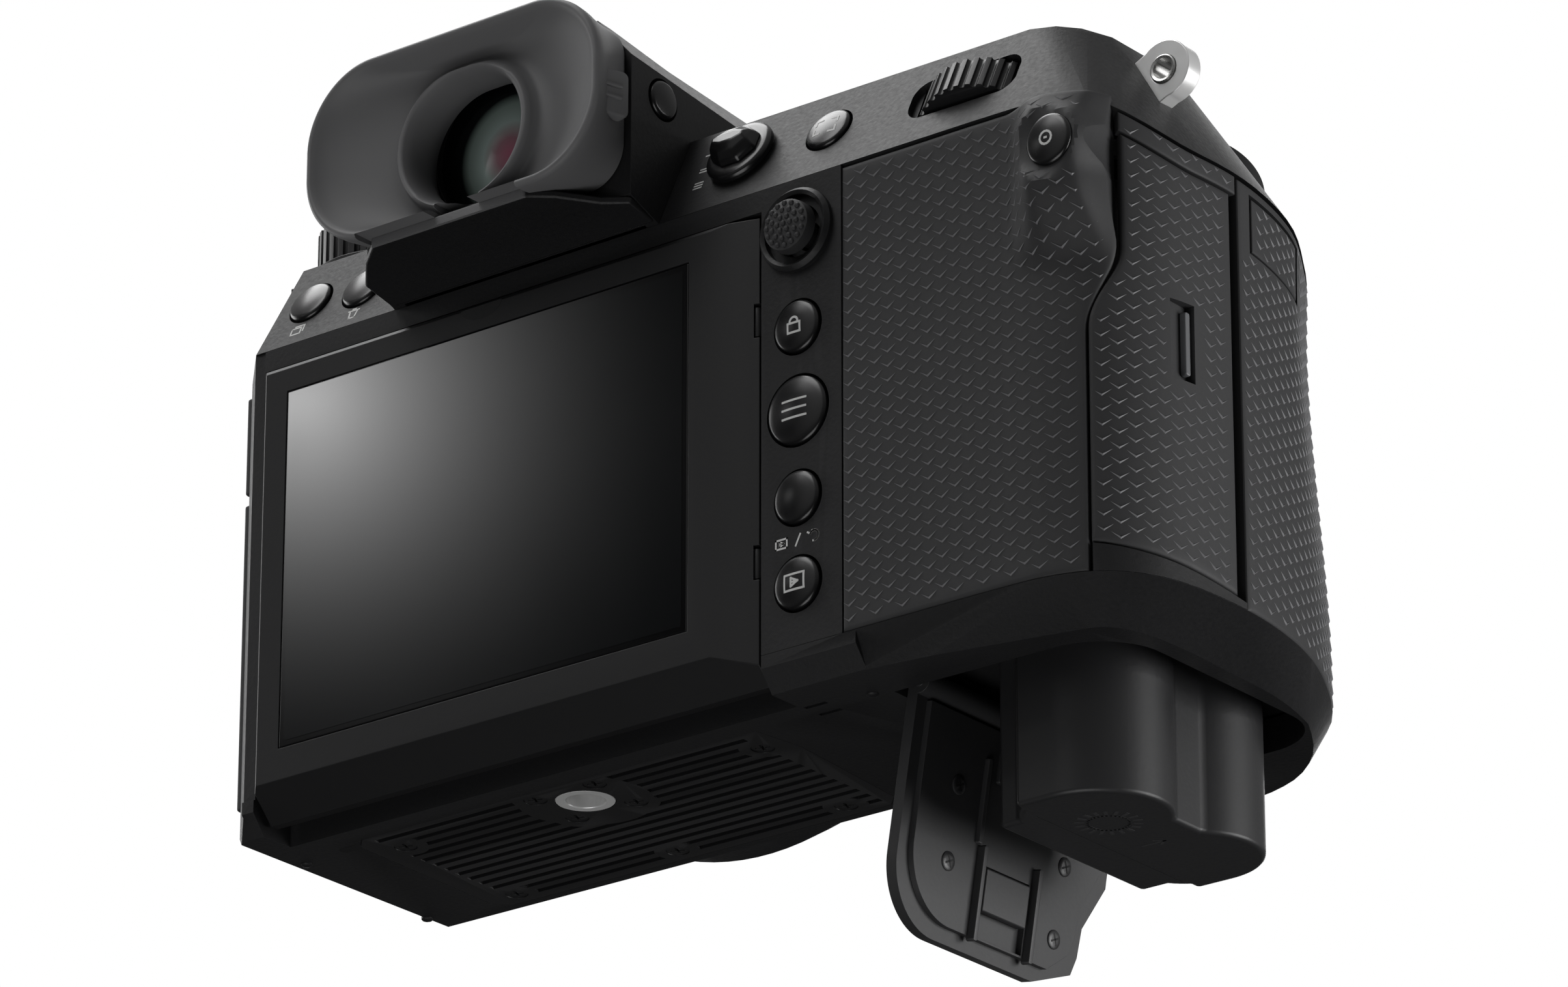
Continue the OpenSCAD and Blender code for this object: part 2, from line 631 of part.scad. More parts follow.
module top_cover() {
  color("#1d1d1e") difference() {
    union() {
      shoulder_form(0);
      grip_top_form(0);
    }
    intersection() {
      union() {
        difference() {
          shoulder_form(wall);
          corner_cut(wall);
        }
        grip_top_form(wall);
      }
      span([-90, -60, crease_z - 9], [120, 80, deck_z]);
    }
    corner_cut(0);
    on_lens(tube_y - 1) cylinder(r = tube_r + seat, h = front_y - tube_y + 4);
    span([axis_x - half_w - seat, -60, crease_z - 5], [axis_x + half_w + seat, 60, deck_z + 5]);
    for (b = [focus_btn, drive_at, delete_at]) on_shoulder(b)
      translate([0, 0, -wall - 4]) cylinder(r = button_r - 0.2 + gap, h = wall + 8);
    on_shoulder(lever_at) translate([0, 0, -wall - 3]) cylinder(r = 1.5 + seat, h = wall + 6);
    // Scoop and slot of the rear dial
    on_shoulder(rear_dial_at) translate([0, 0, -0.9]) linear_extrude(4)
      round_rect(2 * rear_scoop, rear_dial_t + 1.8, 2.6);
    on_shoulder(rear_dial_at) translate([0, 0, -rear_dial_depth]) rotate([90, 0, 0])
      cylinder(r = rear_dial_r + gap, h = rear_dial_t + 1.2, center = true);
    // Mode dial spindle, small display and small buttons on the deck
    translate([mode_at.x, mode_at.y, deck_z - 5]) cylinder(r = spindle_r + seat, h = 8);
    span([sub_lcd[0] - seat, sub_lcd[1] - seat, deck_z - 0.9 - seat],
      [sub_lcd[0] + sub_lcd[2] + seat, sub_lcd[1] + sub_lcd[3] + seat, deck_z + 1]);
    for (b = [light_at, func_at]) translate([b.x, b.y, deck_z - 5]) cylinder(r = top_btn_r + gap, h = 8);
    // Shutter button and front dial on the grip's top
    on_grip_top(shutter_at) translate([0, 0, -6]) cylinder(r = shutter_r + gap, h = 12);
    on_grip_top(front_dial_at) translate([-front_dial_t / 2 - 0.6, -front_dial_r - gap, -front_dial_r - 5])
      cube([front_dial_t + 1.2, 2 * (front_dial_r + gap), front_dial_r + 10]);
    lugs(seat);
  }
}

module base_cover() {
  color("#19191a") difference() {
    union() {
      translate([-body_left, 0, 0]) rotate([90, 0, 90]) linear_extrude(body_left + grip_x + 2) polygon([
        [rear_y, 2.8], [rear_y + 2.2, 0], [front_y - 1, 0], [front_y, 1], [front_y, seam_z], [rear_y, seam_z]]);
      hull() {
        translate([0, 0, seam_z - 0.02]) linear_extrude(0.02) polygon(grip_loop(seam_z, 0, 48));
        linear_extrude(0.02) polygon(concat([[grip_x, rear_y + 2.2]], [for (t = stations(1, 14, 42))
          grip_pt(t, seam_z, t < 7 ? min(7, t * 3.5) : max(2.5 - 1.9 * sstep(11, 13, t), 7 - (t - 7) * 2.2))],
          [[grip_x, front_y]]));
      }
    }
    // Inside of the tray
    span([-body_left + wall, floor_y + 3.5, plate_t + 1.2], [bay_x - 4, front_y - wall, seam_z + 1]);
    // Notch below the monitor and cut corner at the left rear
    span([-recess_left, rear_y - 1, -1], [recess_right, floor_y - plate_play, seam_z + 1]);
    translate([0, 0, -1]) linear_extrude(seam_z + 2) polygon([
      [-body_left - 1, rear_y + 7.2], [-body_left, rear_y + 7.2], [-recess_left - 2, rear_y + 0.3],
      [-recess_left - 2, rear_y - 1], [-body_left - 1, rear_y - 1]]);
    // Bevel along the left edge
    translate([-body_left, 60, 0]) rotate([90, 0, 0]) linear_extrude(120)
      polygon([[-1, -1], [4.4, -1], [4.4, 0], [0, 3], [-1, 3]]);
    // Opening for the battery door and pocket for the finned plate
    translate([0, 0, -1]) linear_extrude(seam_z + 3) bay_section(0);
    translate([0, 0, -1]) linear_extrude(plate_t + 1 + seat) plate_outline(seat);
    translate([0, 0, -1]) cylinder(r = bush_r + seat, h = 9);
    for (s = screw_places()) translate([s.x, s.y, -1]) cylinder(r = screw_r * 0.55 + seat, h = 9);
    // Sockets for the battery door's hinge pins
    translate([pivot_x, bay_step + 2.6, pivot_z]) rotate([90, 0, 0])
      cylinder(r = door_pin_r + pin_fit, h = bay_step + bay_rear + 5.2);
    // Two drain slots near the rear edge
    for (y = [-9.2, -6.2]) span([42.8, y - 0.35, -1], [46.2, y + 0.35, 1]);
  }
}

// Base fittings

module plate_outline(d) {
  polygon([
    [-plate_half + 3 - d, -plate_rear - d], [plate_half - 2 + d, -plate_rear - d],
    [plate_half - 1 + d, -plate_rear + 8], [plate_half - 3 + d, plate_front - 2 + d],
    [plate_half - 5 + d, plate_front + d], [-plate_half + 2 - d, plate_front + d],
    [-plate_half - d, plate_front - 2 + d], [-plate_half + 1 - d, -plate_rear + 2 - d]]);
}

function screw_places() = [
  [-plate_half + 5.6, -plate_rear + 5.6], [-plate_half + 5, plate_front - 2.9], [-2.7, plate_front - 2.9],
  [plate_half - 10, plate_front - 2.9], [plate_half - 5.2, -plate_rear + 5.4],
  [-4.9, -4.1], [4.9, -4.1], [4.9, 4.3], [-4.9, 4.3]];

module tripod_plate() {
  color("#202021") difference() {
    linear_extrude(plate_t) plate_outline(0);
    translate([0, 0, -1]) cylinder(r = bush_r + seat, h = 9);
    // Grooves between the fins, stopped around the socket and the screws
    difference() {
      for (y = [-plate_rear + 1.2:fin_pitch:plate_front - 1.4])
        span([-plate_half + 4, y, -1], [plate_half - 5, y + fin_pitch * 0.45, plate_t * 0.45]);
      translate([0, 0, -2]) cylinder(r = 9, h = 9);
      for (s = screw_places()) translate([s.x, s.y, -2]) cylinder(r = screw_r + 1.6, h = 9);
    }
    for (s = screw_places()) {
      translate([s.x, s.y, -1]) cylinder(r = screw_r + seat, h = 1 + plate_t * 0.7);
      translate([s.x, s.y, -1]) cylinder(r = screw_r * 0.55 + seat, h = 9);
    }
  }
}

module tripod_socket() {
  color("silver") rotate_extrude() polygon([
    [socket_r, 0], [bush_r, 0], [bush_r, socket_depth + 1.4], [0, socket_depth + 1.4],
    [0, socket_depth], [socket_r, socket_depth]]);
}

module plate_screws() {
  color("#2a2a2b") for (s = screw_places()) translate([s.x, s.y, 0]) difference() {
    union() {
      translate([0, 0, 0.1]) cylinder(r = screw_r, h = plate_t * 0.7 - 0.1 - seat);
      translate([0, 0, plate_t * 0.4]) cylinder(r = screw_r * 0.55, h = plate_t * 0.6 + 1);
    }
    for (a = [20, 110]) rotate(a) cube([screw_r * 1.3, 0.4, 1], center = true);
  }
}

// Viewfinder

// Outer or inner form of the viewfinder's housing, inset by d. Its bevelled sides fall towards the front
module finder_form(d) {
  intersection() {
    translate([-60, 0, 0]) rotate([90, 0, 90]) linear_extrude(120) polygon([
      [rear_y + d, crease_z - d], [-finder_back + d, finder_low + (d > 0 ? 1 : 0)],
      [-finder_back + d, finder_rim_z - d], [-finder_back + 3, finder_rim_z - d],
      [shoe_y - 2, finder_top - d], [shoe_y + shoe_len + 2, finder_top - d],
      [front_y - d, 87 - d * 0.5], [front_y - d, crease_z - d]]);
    translate([axis_x, -finder_back, finder_side_z]) rotate([-finder_fall, 0, 0])
      translate([0, 90, 0]) rotate([90, 0, 0]) linear_extrude(120) polygon([
        [-half_w + d, -40], [-half_w + d, -d * 0.4], [roof_run - half_w, roof_rise - d * 1.5],
        [half_w - roof_run, roof_rise - d * 1.5], [half_w - d, -d * 0.4], [half_w - d, -40]]);
  }
}

module finder_housing() {
  color("#1d1d1e") difference() {
    finder_form(0);
    finder_form(wall);
    on_lens(tube_y - 1) cylinder(r = tube_r + seat, h = front_y - tube_y + 4);
    on_rear(axis_x, eye_z, -finder_back + wall + 1) cylinder(r = eye_r + seat, h = wall + 3);
    translate([axis_x + half_w - 5, view_at.x, view_at.y]) rotate([0, 90, 0]) cylinder(r = view_r + gap, h = 9);
    translate([axis_x - half_w - 4, diop_at.x, diop_at.y]) rotate([0, 90, 0]) cylinder(r = 2 + seat, h = 9);
  }
}

// Flat rounded slab facing the rear, at y
module cup_slab(y, w, h, r) {
  translate([axis_x, y, eye_z]) rotate([90, 0, 0]) linear_extrude(0.05) round_rect(w, h, r, $fn = 32);
}

module eyecup() {
  base_y = -finder_back - seat;
  rim_y = base_y - cup_out;
  color("#2b2b2c") difference() {
    hull() {
      cup_slab(base_y, finder_w - 3, cup_h - 2, 7);
      cup_slab(rim_y + 2, cup_w, cup_h, 10);
      cup_slab(rim_y, cup_w - 1.4, cup_h - 1.4, 10);
    }
    hull() {
      cup_slab(rim_y - 0.5, cup_w - 2 * cup_wall, cup_h - 2 * cup_wall, 9);
      cup_slab(base_y - cup_out * 0.6, eye_r * 2 + 6, eye_r * 2 - 2, 9);
    }
    on_rear(axis_x, eye_z, base_y + 1) linear_extrude(cup_out) round_rect(eye_r * 2 + 1.6, eye_r * 2 - 4, 8);
  }
}

module eyepiece_lens() {
  color("#3a4640") on_rear(axis_x, eye_z, -finder_back + wall + 0.8) intersection() {
    cylinder(r = eye_r, h = wall + 0.6);
    translate([0, 0, wall + 0.6 - 60]) sphere(60, $fn = 128);
  }
}

module view_button() {
  color("#111111") translate([axis_x + half_w, view_at.x, view_at.y]) rotate([0, 90, 0])
    button(view_r, 0.7, 2.4);
}

module diopter_dial() {
  color("#181818") translate([axis_x - half_w, diop_at.x, diop_at.y]) rotate([0, -90, 0]) {
    translate([0, 0, 1.3]) wheel(diop_r, 2.2, 30, 0.3);
    translate([0, 0, -wall - 0.5]) cylinder(r = 2, h = wall + 1);
  }
}

module hot_shoe() {
  out_w = shoe_w + 2.4;
  z0 = finder_top + seat;
  z1 = z0 + shoe_base;
  color("#4a4a4b") translate([axis_x, shoe_y, 0]) {
    span([-out_w / 2, 0, z0], [out_w / 2, shoe_len, z1]);
    for (s = [-1, 1]) {
      translate([s * (out_w / 2 - 0.6), shoe_len / 2, (z1 + shoe_h / 2 + z0) / 2 + shoe_h / 4])
        cube([1.2, shoe_len, z1 - z0 + shoe_h], center = true);
      translate([s * (out_w + shoe_mouth) / 4, shoe_len / 2, z1 + shoe_h + shoe_lip / 2])
        cube([(out_w - shoe_mouth) / 2, shoe_len, shoe_lip], center = true);
    }
    span([-out_w / 2, shoe_len - 1, z0], [out_w / 2, shoe_len, z1 + shoe_h]);
  }
}

// Controls on the left shoulder

module mode_dial() {
  z0 = deck_z + 2;
  color("#161616") translate([mode_at.x, mode_at.y, 0]) difference() {
    union() {
      translate([0, 0, z0 + mode_h / 2]) wheel(mode_r, mode_h, notches, 0.45);
      translate([0, 0, deck_z - 4]) cylinder(r = spindle_r, h = 6.5);
    }
    translate([0, 0, z0 + mode_h - 3]) cylinder(r = 3 + 0.1, h = 9);
  }
}

module mode_dial_lock() {
  color("#202020") translate([mode_at.x, mode_at.y, deck_z + 2 + mode_h]) button(3, 0.8, 2);
}

module movie_lever() {
  color("#1a1a1a") translate([mode_at.x, mode_at.y, deck_z + gap]) difference() {
    union() {
      cylinder(r = movie_r, h = 2 - 2 * gap);
      rotate(205) translate([0, -1.8, 0]) cube([movie_r + 2.6, 3.6, 2 - 2 * gap]);
    }
    translate([0, 0, -1]) cylinder(r = spindle_r + gap, h = 5);
  }
}

module drive_button() {
  color("#0d0d0d") on_shoulder(drive_at) button(button_r - 0.2, button_out, 3);
}

module delete_button() {
  color("#0d0d0d") on_shoulder(delete_at) button(button_r - 0.2, button_out, 3);
}

// Controls on the right shoulder and the grip's top

module shutter_button() {
  color("#0f0f0f") on_grip_top(shutter_at) button(shutter_r, 3, 4);
}

module power_switch() {
  color("#171717") on_grip_top(shutter_at) translate([0, 0, gap]) difference() {
    union() {
      cylinder(r = shutter_r + 3, h = 1.8);
      rotate(200) translate([0, -1.5, 0]) cube([shutter_r + 5.2, 3, 1.8]);
    }
    translate([0, 0, -1]) cylinder(r = shutter_r + gap, h = 5);
  }
}

module front_dial() {
  color("#141414") on_grip_top(front_dial_at) translate([0, 0, -front_dial_depth]) rotate([0, 90, 0]) {
    wheel(front_dial_r, front_dial_t, 28, 0.35);
  }
}

module rear_dial() {
  color("#141414") on_shoulder(rear_dial_at) translate([0, 0, -rear_dial_depth]) rotate([90, 0, 0])
    wheel(rear_dial_r, rear_dial_t, notches, 0.45);
}

module sub_monitor() {
  color("#0a0b0c") span([sub_lcd[0], sub_lcd[1], deck_z - 0.9],
    [sub_lcd[0] + sub_lcd[2], sub_lcd[1] + sub_lcd[3], deck_z + 0.1]);
}

module light_button() {
  color("#0d0d0d") translate([light_at.x, light_at.y, deck_z]) button(top_btn_r, 0.7, 2.6);
}

module function_button() {
  color("#0d0d0d") translate([func_at.x, func_at.y, deck_z]) button(top_btn_r, 0.7, 2.6);
}

module focus_lever() {
  color("#121212") on_shoulder(lever_at) {
    translate([0, 0, gap]) cylinder(r = lever_r, h = 1.4);
    translate([0, 0, 1]) rotate(-90) translate([0, -1.5, 0]) cube([lever_r + 0.8, 3, 2]);
    translate([0, 0, -wall - 0.4]) cylinder(r = 1.5, h = wall + 1);
  }
}

module focus_button() {
  color("#0d0d0d") on_shoulder(focus_btn) button(button_r - 0.2, button_out, 3);
}

// Rear button column

module stick_gimbal() {
  color("#333333") on_rear(column_x, stick_z, rear_y + wall + 1.3) difference() {
    union() {
      cylinder(r = 3.2, h = 1);
      translate([0, 0, 0.5]) rotate([0, 90, 0]) cylinder(r = 0.5, h = 7.4, center = true);
    }
    translate([0, 0, -1]) cylinder(r = 1.9, h = 4);
  }
}

module focus_stick() {
  color("#1a1a1a") on_rear(column_x, stick_z) {
    translate([0, 0, 0.9]) cylinder(r = stick_r - 0.2, h = 1.5);
    intersection() {
      translate([0, 0, 1.6]) cylinder(r = stick_r - 0.2, h = 3);
      translate([0, 0, 3 - 14]) sphere(14, $fn = 96);
    }
    translate([0, 0, -wall - 2]) cylinder(r = 1.4, h = wall + 3);
    translate([0, 0, -wall - 0.8]) rotate([90, 0, 0]) cylinder(r = 0.4, h = 3.6, center = true);
  }
}

module lock_button() {
  color("#0d0d0d") on_rear(column_x, lock_z) button(button_r, button_out, 3);
}

module menu_button() {
  color("#0d0d0d") on_rear(column_x, menu_z) button(menu_r, button_out, 3);
}

module back_button() {
  color("#0d0d0d") on_rear(column_x, back_z) button(button_r, button_out, 3);
}

module play_button() {
  color("#0d0d0d") on_rear(column_x, play_z) button(button_r, button_out, 3);
}

// Rear face of the thumb rest where its button sits
quick_y = outline_pt(3.7, quick_at.y).y - thumb(quick_at.x, quick_at.y);

module quick_button() {
  color("#0d0d0d") on_rear(quick_at.x, quick_at.y, quick_y) button(quick_r, button_out, 3);
}

// Monitor and its hinge plates

// Hinge plate: a sheet with a window and a rounded edge on its hinge line
module hinge_plate(x0, x1, z0, z1, y, hinge_z) {
  lo = min(z0, hinge_z);
  hi = max(z1, hinge_z);
  difference() {
    span([x0, y - plate_sheet / 2, lo], [x1, y + plate_sheet / 2, hi]);
    span([x0 + 9, y - 3, z0 + 9], [x1 - 9, y + 3, z1 - 9]);
  }
  translate([x0, y, hinge_z]) rotate([0, 90, 0]) cylinder(r = plate_sheet / 2, h = x1 - x0);
}

module tilt_arm() {
  color("#2c2c2d") hinge_plate(-25, 25, hinge_low_z, hinge_high_z - 1, arm_y, hinge_low_z);
}

module tilt_frame() {
  color("#2c2c2d") hinge_plate(-30, 30, mon_low + 3, hinge_high_z, frame_y, hinge_high_z);
}

module drop_frame() {
  color("#2c2c2d") {
    hinge_plate(-34, 36, drop_hinge_z, mon_high - 2.5, drop_y, drop_hinge_z);
    for (z = side_knuckles) {
      span([35.5, drop_y - plate_sheet / 2, z], [side_hinge_x + side_hinge_r, drop_y + plate_sheet / 2, z + 4]);
      span([side_hinge_x - side_hinge_r, side_hinge_y, z], [side_hinge_x + side_hinge_r, drop_y, z + 4]);
      translate([side_hinge_x, side_hinge_y, z]) cylinder(r = side_hinge_r, h = 4);
    }
  }
}

// Heights of the knuckles of the monitor's side hinge
side_knuckles = [mon_low + 14, mon_high - 16];

module monitor_housing() {
  color("#1a1a1b") difference() {
    intersection() {
      linear_extrude(100) polygon([
        [-mon_left, house_y], [mon_right - 1, house_y], [mon_right, house_y - 1], [mon_right, face_y + 1.8],
        [mon_right - 6.4, face_y],
        [-mon_left + 0.7, face_y], [-mon_left, face_y + 0.7]]);
      translate([-60, 0, 0]) rotate([90, 0, 90]) linear_extrude(120) polygon([
        [house_y, mon_high], [face_y + 0.6, mon_high], [face_y, mon_high - 0.7], [face_y, mon_low + 4.3],
        [house_y - 1.2, mon_low], [house_y, mon_low]]);
    }
    span([-glass_left - seat, face_y - 1, glass_low - seat],
      [-glass_left + glass_w + seat, face_y + 1.2 + seat, glass_low + glass_h + seat]);
    for (z = side_knuckles)
      span([side_hinge_x - side_hinge_r - gap, side_hinge_y - side_hinge_r - gap, z - gap],
        [mon_right + 1, house_y + 1, z + 4 + gap]);
  }
}

module monitor_glass() {
  color("#050505") span([-glass_left, face_y + 0.05, glass_low],
    [-glass_left + glass_w, face_y + 1.2, glass_low + glass_h]);
}

// Grip skins, card door and remote cover

module rear_rubber() {
  us = stations(0, 1, 26);
  zs = stations(seam_z + seat, crease_z - 0.4, 30);
  color("#2a2a2b") difference() {
    skin_between(
      [for (u = us) [for (z = zs) let (p = grip_pt(u * (card_start(z) - 0.08), z, 0))
        [p.x, p.y - thumb(p.x, z), z]]],
      [for (u = us) [for (z = zs) let (p = grip_pt(u * (card_start(z) - 0.08), waist_z, skin - seat))
        [p.x, p.y, z]]]);
    on_rear(quick_at.x, quick_at.y, quick_y) translate([0, 0, -3.8]) cylinder(r = quick_r + gap, h = 12);
    translate([0, 0, -0.4]) grip_top_form(-0.1);
  }
}

// Grid of points on the front skin, moved inward by d at the height h or at its own height
function front_grid(d, h) = [for (t = stations(slot_end, 14.9, 40)) [for (u = stations(0, 1, 14))
  let (z = seam_z + seat + u * (skin_top(t) - 0.4 - seam_z - seat), p = grip_pt(t, h > 0 ? h : z, d))
  [p.x, p.y, z]]];

module front_rubber() {
  color("#2a2a2b") difference() {
    skin_between(front_grid(0, 0), front_grid(skin - seat, waist_z));
    remote_cut(gap);
    translate([0, 0, -0.4]) grip_top_form(-0.1);
    on_grip_top(front_dial_at) translate([-front_dial_t / 2 - 0.6, -front_dial_r - 1, -front_dial_r - 6])
      cube([front_dial_t + 1.2, 2 * front_dial_r + 2, front_dial_r + 6]);
  }
}

// Hinge line of the remote socket's cover
remote_pin_r = 0.6;
remote_hinge = grip_pt(remote_t[0], waist_z, remote_pin_r) + [0, remote_pin_r];

// Pocket of the remote socket's cover in the front rubber, grown by d
module remote_cut(d) {
  b = grip_pt(remote_t[1], waist_z, 0);
  span([grip_side - 12, remote_hinge.y - remote_pin_r - d, remote_z[0] - d],
    [grip_side + 2, b.y + 4 * d, remote_z[1] + d]);
}

module remote_cover() {
  b = grip_pt(remote_t[1], waist_z, 0);
  color("#242425") {
    intersection() {
      grip_patch(remote_t[0] - 0.2, remote_t[1] + 0.2, 8, remote_z[0], remote_z[1], 4, 0.02, skin - 0.6);
      span([grip_side - 12, remote_hinge.y, remote_z[0] - 1], [grip_side + 2, b.y, remote_z[1] + 1]);
    }
    translate([remote_hinge.x, remote_hinge.y, remote_z[0]])
      cylinder(r = remote_pin_r, h = remote_z[1] - remote_z[0]);
  }
}

// Grid of points on the card door, moved inward by d
function card_grid(d) = [for (u = stations(0, 1, 20)) [for (v = stations(0, 1, 20))
  let (z0 = card_low(4) + v * (card_high(4) - card_low(4)), s = card_start(z0), t = s + u * (card_end - s),
    z = card_low(t) + v * (card_high(t) - card_low(t)), p = grip_pt(t, z, d)) [p.x, p.y, z]]];

module card_door() {
  color("#2a2a2b") difference() {
    union() {
      skin_between(card_grid(0), card_grid(card_door_t));
      translate([card_hinge.x, card_hinge.y, card_z[0]]) cylinder(r = 0.8, h = card_z[1] - card_z[0]);
    }
    span([latch_x - 1.1, latch_y - 2, latch_z - 5.2], [grip_side + 2, latch_y + 2, latch_z + 5.2]);
    // Ends above and below the hinge barrel, which would turn into the grip's core
    for (z = [[seam_z - 1, card_z[0] - 0.1], [card_z[1] + 0.1, crease_z + 1]])
      span([card_hinge.x - 3, card_hinge.y + 0.1, z[0]], [grip_side + 2, card_hinge.y + 5, z[1]]);
  }
}

// Face of the card door where its latch sits
latch_x = outline_pt(5.3, 36).x;

module card_latch() {
  color("#0f0f10") span([latch_x - 0.95, latch_y + 0.6, latch_z - 4.2],
    [latch_x - 0.15, latch_y + 1.6, latch_z + 4.2]);
}

module card_slots() {
  x1 = grip_side - 12;
  y0 = rear_y + skin + core_wall + 0.8;
  y1 = batt_y - gap - chamber_wall - 0.3;
  color("#2e3133") difference() {
    span([x1 - 32, y0, 22], [x1, y1, 50]);
    for (k = [0, 1]) translate([x1 - 30, y0 + 1 + k * 3.6, 24]) cube([32, 2.3, 24.2]);
  }
}

// Battery, its door and its chamber

module battery() {
  color("#1c1c1d") translate([0, 0, -batt_out]) linear_extrude(batt_len) battery_section(0);
}

// Turn from the closed door's place to the open one
module opened() {
  translate([pivot_x, 0, pivot_z]) rotate([0, door_open, 0]) translate([-pivot_x, 0, -pivot_z]) children();
}

// Outline of the closed battery door, shrunk by d and starting at a distance from its hinge
module door_outline(d, start) {
  intersection() {
    translate([-0.4, 1.8]) bay_section(d);
    polygon([
      [pivot_x + start, -bay_rear], [bay_side, -bay_rear], [bay_side, bay_front - 16.8],
      [bay_side - 3.2 - d, bay_front - 6.6 - d], [bay_side - 5.6 - d, bay_front - 5.7 - d],
      [bay_side - 9.5 - d, bay_front - 5.4 - d], [bay_side - 15.7 - d, bay_front - 1.6 - d],
      [pivot_x + max(start, bay_step_in - 1.6) + d, bay_front - 1.6 - d],
      [pivot_x + max(start, bay_step_in - 1.6) + d, bay_step - 0.4 - d],
      [pivot_x + start, bay_step - 0.4 - d]]);
  }
}

module battery_door() {
  color("#1f1f20") opened() {
    difference() {
      union() {
        linear_extrude(door_t) door_outline(0.4, 0);
        translate([0, 0, door_t - eps]) linear_extrude(liner_t + eps) door_outline(2.4, 2);
        translate([pivot_x, bay_step - 2, pivot_z]) rotate([90, 0, 0])
          cylinder(r = door_t, h = bay_step + bay_rear - 4.2);
        translate([pivot_x, bay_step + 2.2, pivot_z]) rotate([90, 0, 0])
          cylinder(r = door_pin_r, h = bay_step + bay_rear + 4.4);
      }
      span([pivot_x + 19.2, 11.2, door_t], [pivot_x + 25.3 + door_latch_travel, 20.8, door_t + 5]);
    }
  }
}

module door_latch() {
  color("#141415") opened() {
    span([pivot_x + 19.5, 11.5, door_t + 0.15], [pivot_x + 25, 20.5, door_t + liner_t + 0.5]);
  }
}

module battery_chamber() {
  color("#222223") translate([0, 0, chamber_z]) difference() {
    union() {
      linear_extrude(chamber_top - chamber_z) battery_section(gap + chamber_wall);
      linear_extrude(1) difference() {
        intersection() {
          bay_section(-1.2);
          polygon(concat([[bay_x - 2, rear_y + skin + core_wall + gap]],
            grip_loop(waist_z, skin + core_wall + gap, 60), [[bay_x - 2, front_y]]));
        }
        translate([bay_x - 5, front_y - wall - gap]) square([web_x + gap - bay_x + 5, wall + 2 + 2 * gap]);
      }
    }
    translate([0, 0, -1]) linear_extrude(chamber_top - chamber_z) battery_section(gap);
    translate([0, 0, -chamber_z]) on_grip_top(front_dial_at) translate([0, 0, -front_dial_depth])
      rotate([0, 90, 0]) cylinder(r = front_dial_r + gap, h = front_dial_t + 1.2, center = true);
  }
}

module battery_ejector() {
  color("#3a3a3b") translate([batt_x + 5, batt_y + 10, batt_len - batt_out + seat])
    cube([12, batt_w - 20, 1.2]);
}

// Doors on the left side

module term_door(z) {
  span([term_x, term_rear, z[0]], [term_x + term_t, term_front - term_t / 2, z[1]]);
  translate([term_x + term_t / 2, term_front - term_t / 2, z[0]]) cylinder(r = term_t / 2, h = z[1] - z[0]);
}

module terminal_door_upper() {
  color("#202021") term_door(term_up);
}

module terminal_door_lower() {
  color("#202021") term_door(term_low);
}

// Lens mount and what lies behind it

module lens_mount() {
  color("silver") on_lens(boss_y + seat) difference() {
    cylinder(r = mount_r, h = ring_t - seat, $fn = 128);
    translate([0, 0, -1]) cylinder(r = throat_r, h = ring_t + 3, $fn = 128);
    for (a = [0:60:300]) rotate(a + 30) translate([(mount_r + throat_r) / 2, 0, -1]) {
      cylinder(r = 0.9 + seat, h = 9);
      translate([0, 0, ring_t - 0.5]) cylinder(r = 1.6 + seat, h = 9);
    }
    rotate(180) translate([axis_x - lock_pin_at.x, 0, -1]) cylinder(r = lock_pin_r + 0.1, h = 9);
  }
}

module mount_screws() {
  color("gainsboro") on_lens(boss_y + seat) for (a = [0:60:300]) rotate(a + 30)
    translate([(mount_r + throat_r) / 2, 0, 0]) difference() {
      union() {
        cylinder(r = 0.9, h = ring_t - 1);
        translate([0, 0, ring_t - 1.5 + seat]) cylinder(r = 1.6, h = 1.2);
      }
      translate([0, 0, ring_t]) for (c = [0, 90]) rotate(c) cube([2, 0.4, 1], center = true);
    }
}

module lens_release() {
  color("#111111") translate([release_at.x, front_y, release_at.y]) rotate([-90, 0, 0])
    button(release_r, 3.5, 4);
}

module lens_lock_pin() {
  color("silver") translate([lock_pin_at.x, tube_y + 2, lock_pin_at.y]) rotate([-90, 0, 0])
    cylinder(r = lock_pin_r, h = flange_y + 1 - tube_y - 2);
}

module image_sensor() {
  color("#2b3a45") difference() {
    span([axis_x - 30, sensor_y - 6, lens_z - 24], [axis_x + 30, sensor_y, lens_z + 24]);
    span([axis_x - sensor_w / 2 - 2, sensor_y - 0.8, lens_z - sensor_h / 2 - 2],
      [axis_x + sensor_w / 2 + 2, sensor_y - 0.4, lens_z + sensor_h / 2 + 2]);
  }
}

module shutter_unit() {
  color("#151515") difference() {
    span([axis_x - 33, shutter_y, lens_z - 28], [axis_x + 33, shutter_y + shutter_t, lens_z + 25]);
    span([axis_x - sensor_w / 2 - 1.5, shutter_y - 1, lens_z - sensor_h / 2 - 1.5],
      [axis_x + sensor_w / 2 + 1.5, shutter_y + shutter_t + 1, lens_z + sensor_h / 2 + 1.5]);
  }
}

module main_board() {
  color("darkgreen") span([-38, floor_y + 1.4 + seat, 8], [40, floor_y + 3, 62]);
}

module strap_lugs() {
  color("lightgrey") lugs(0);
}

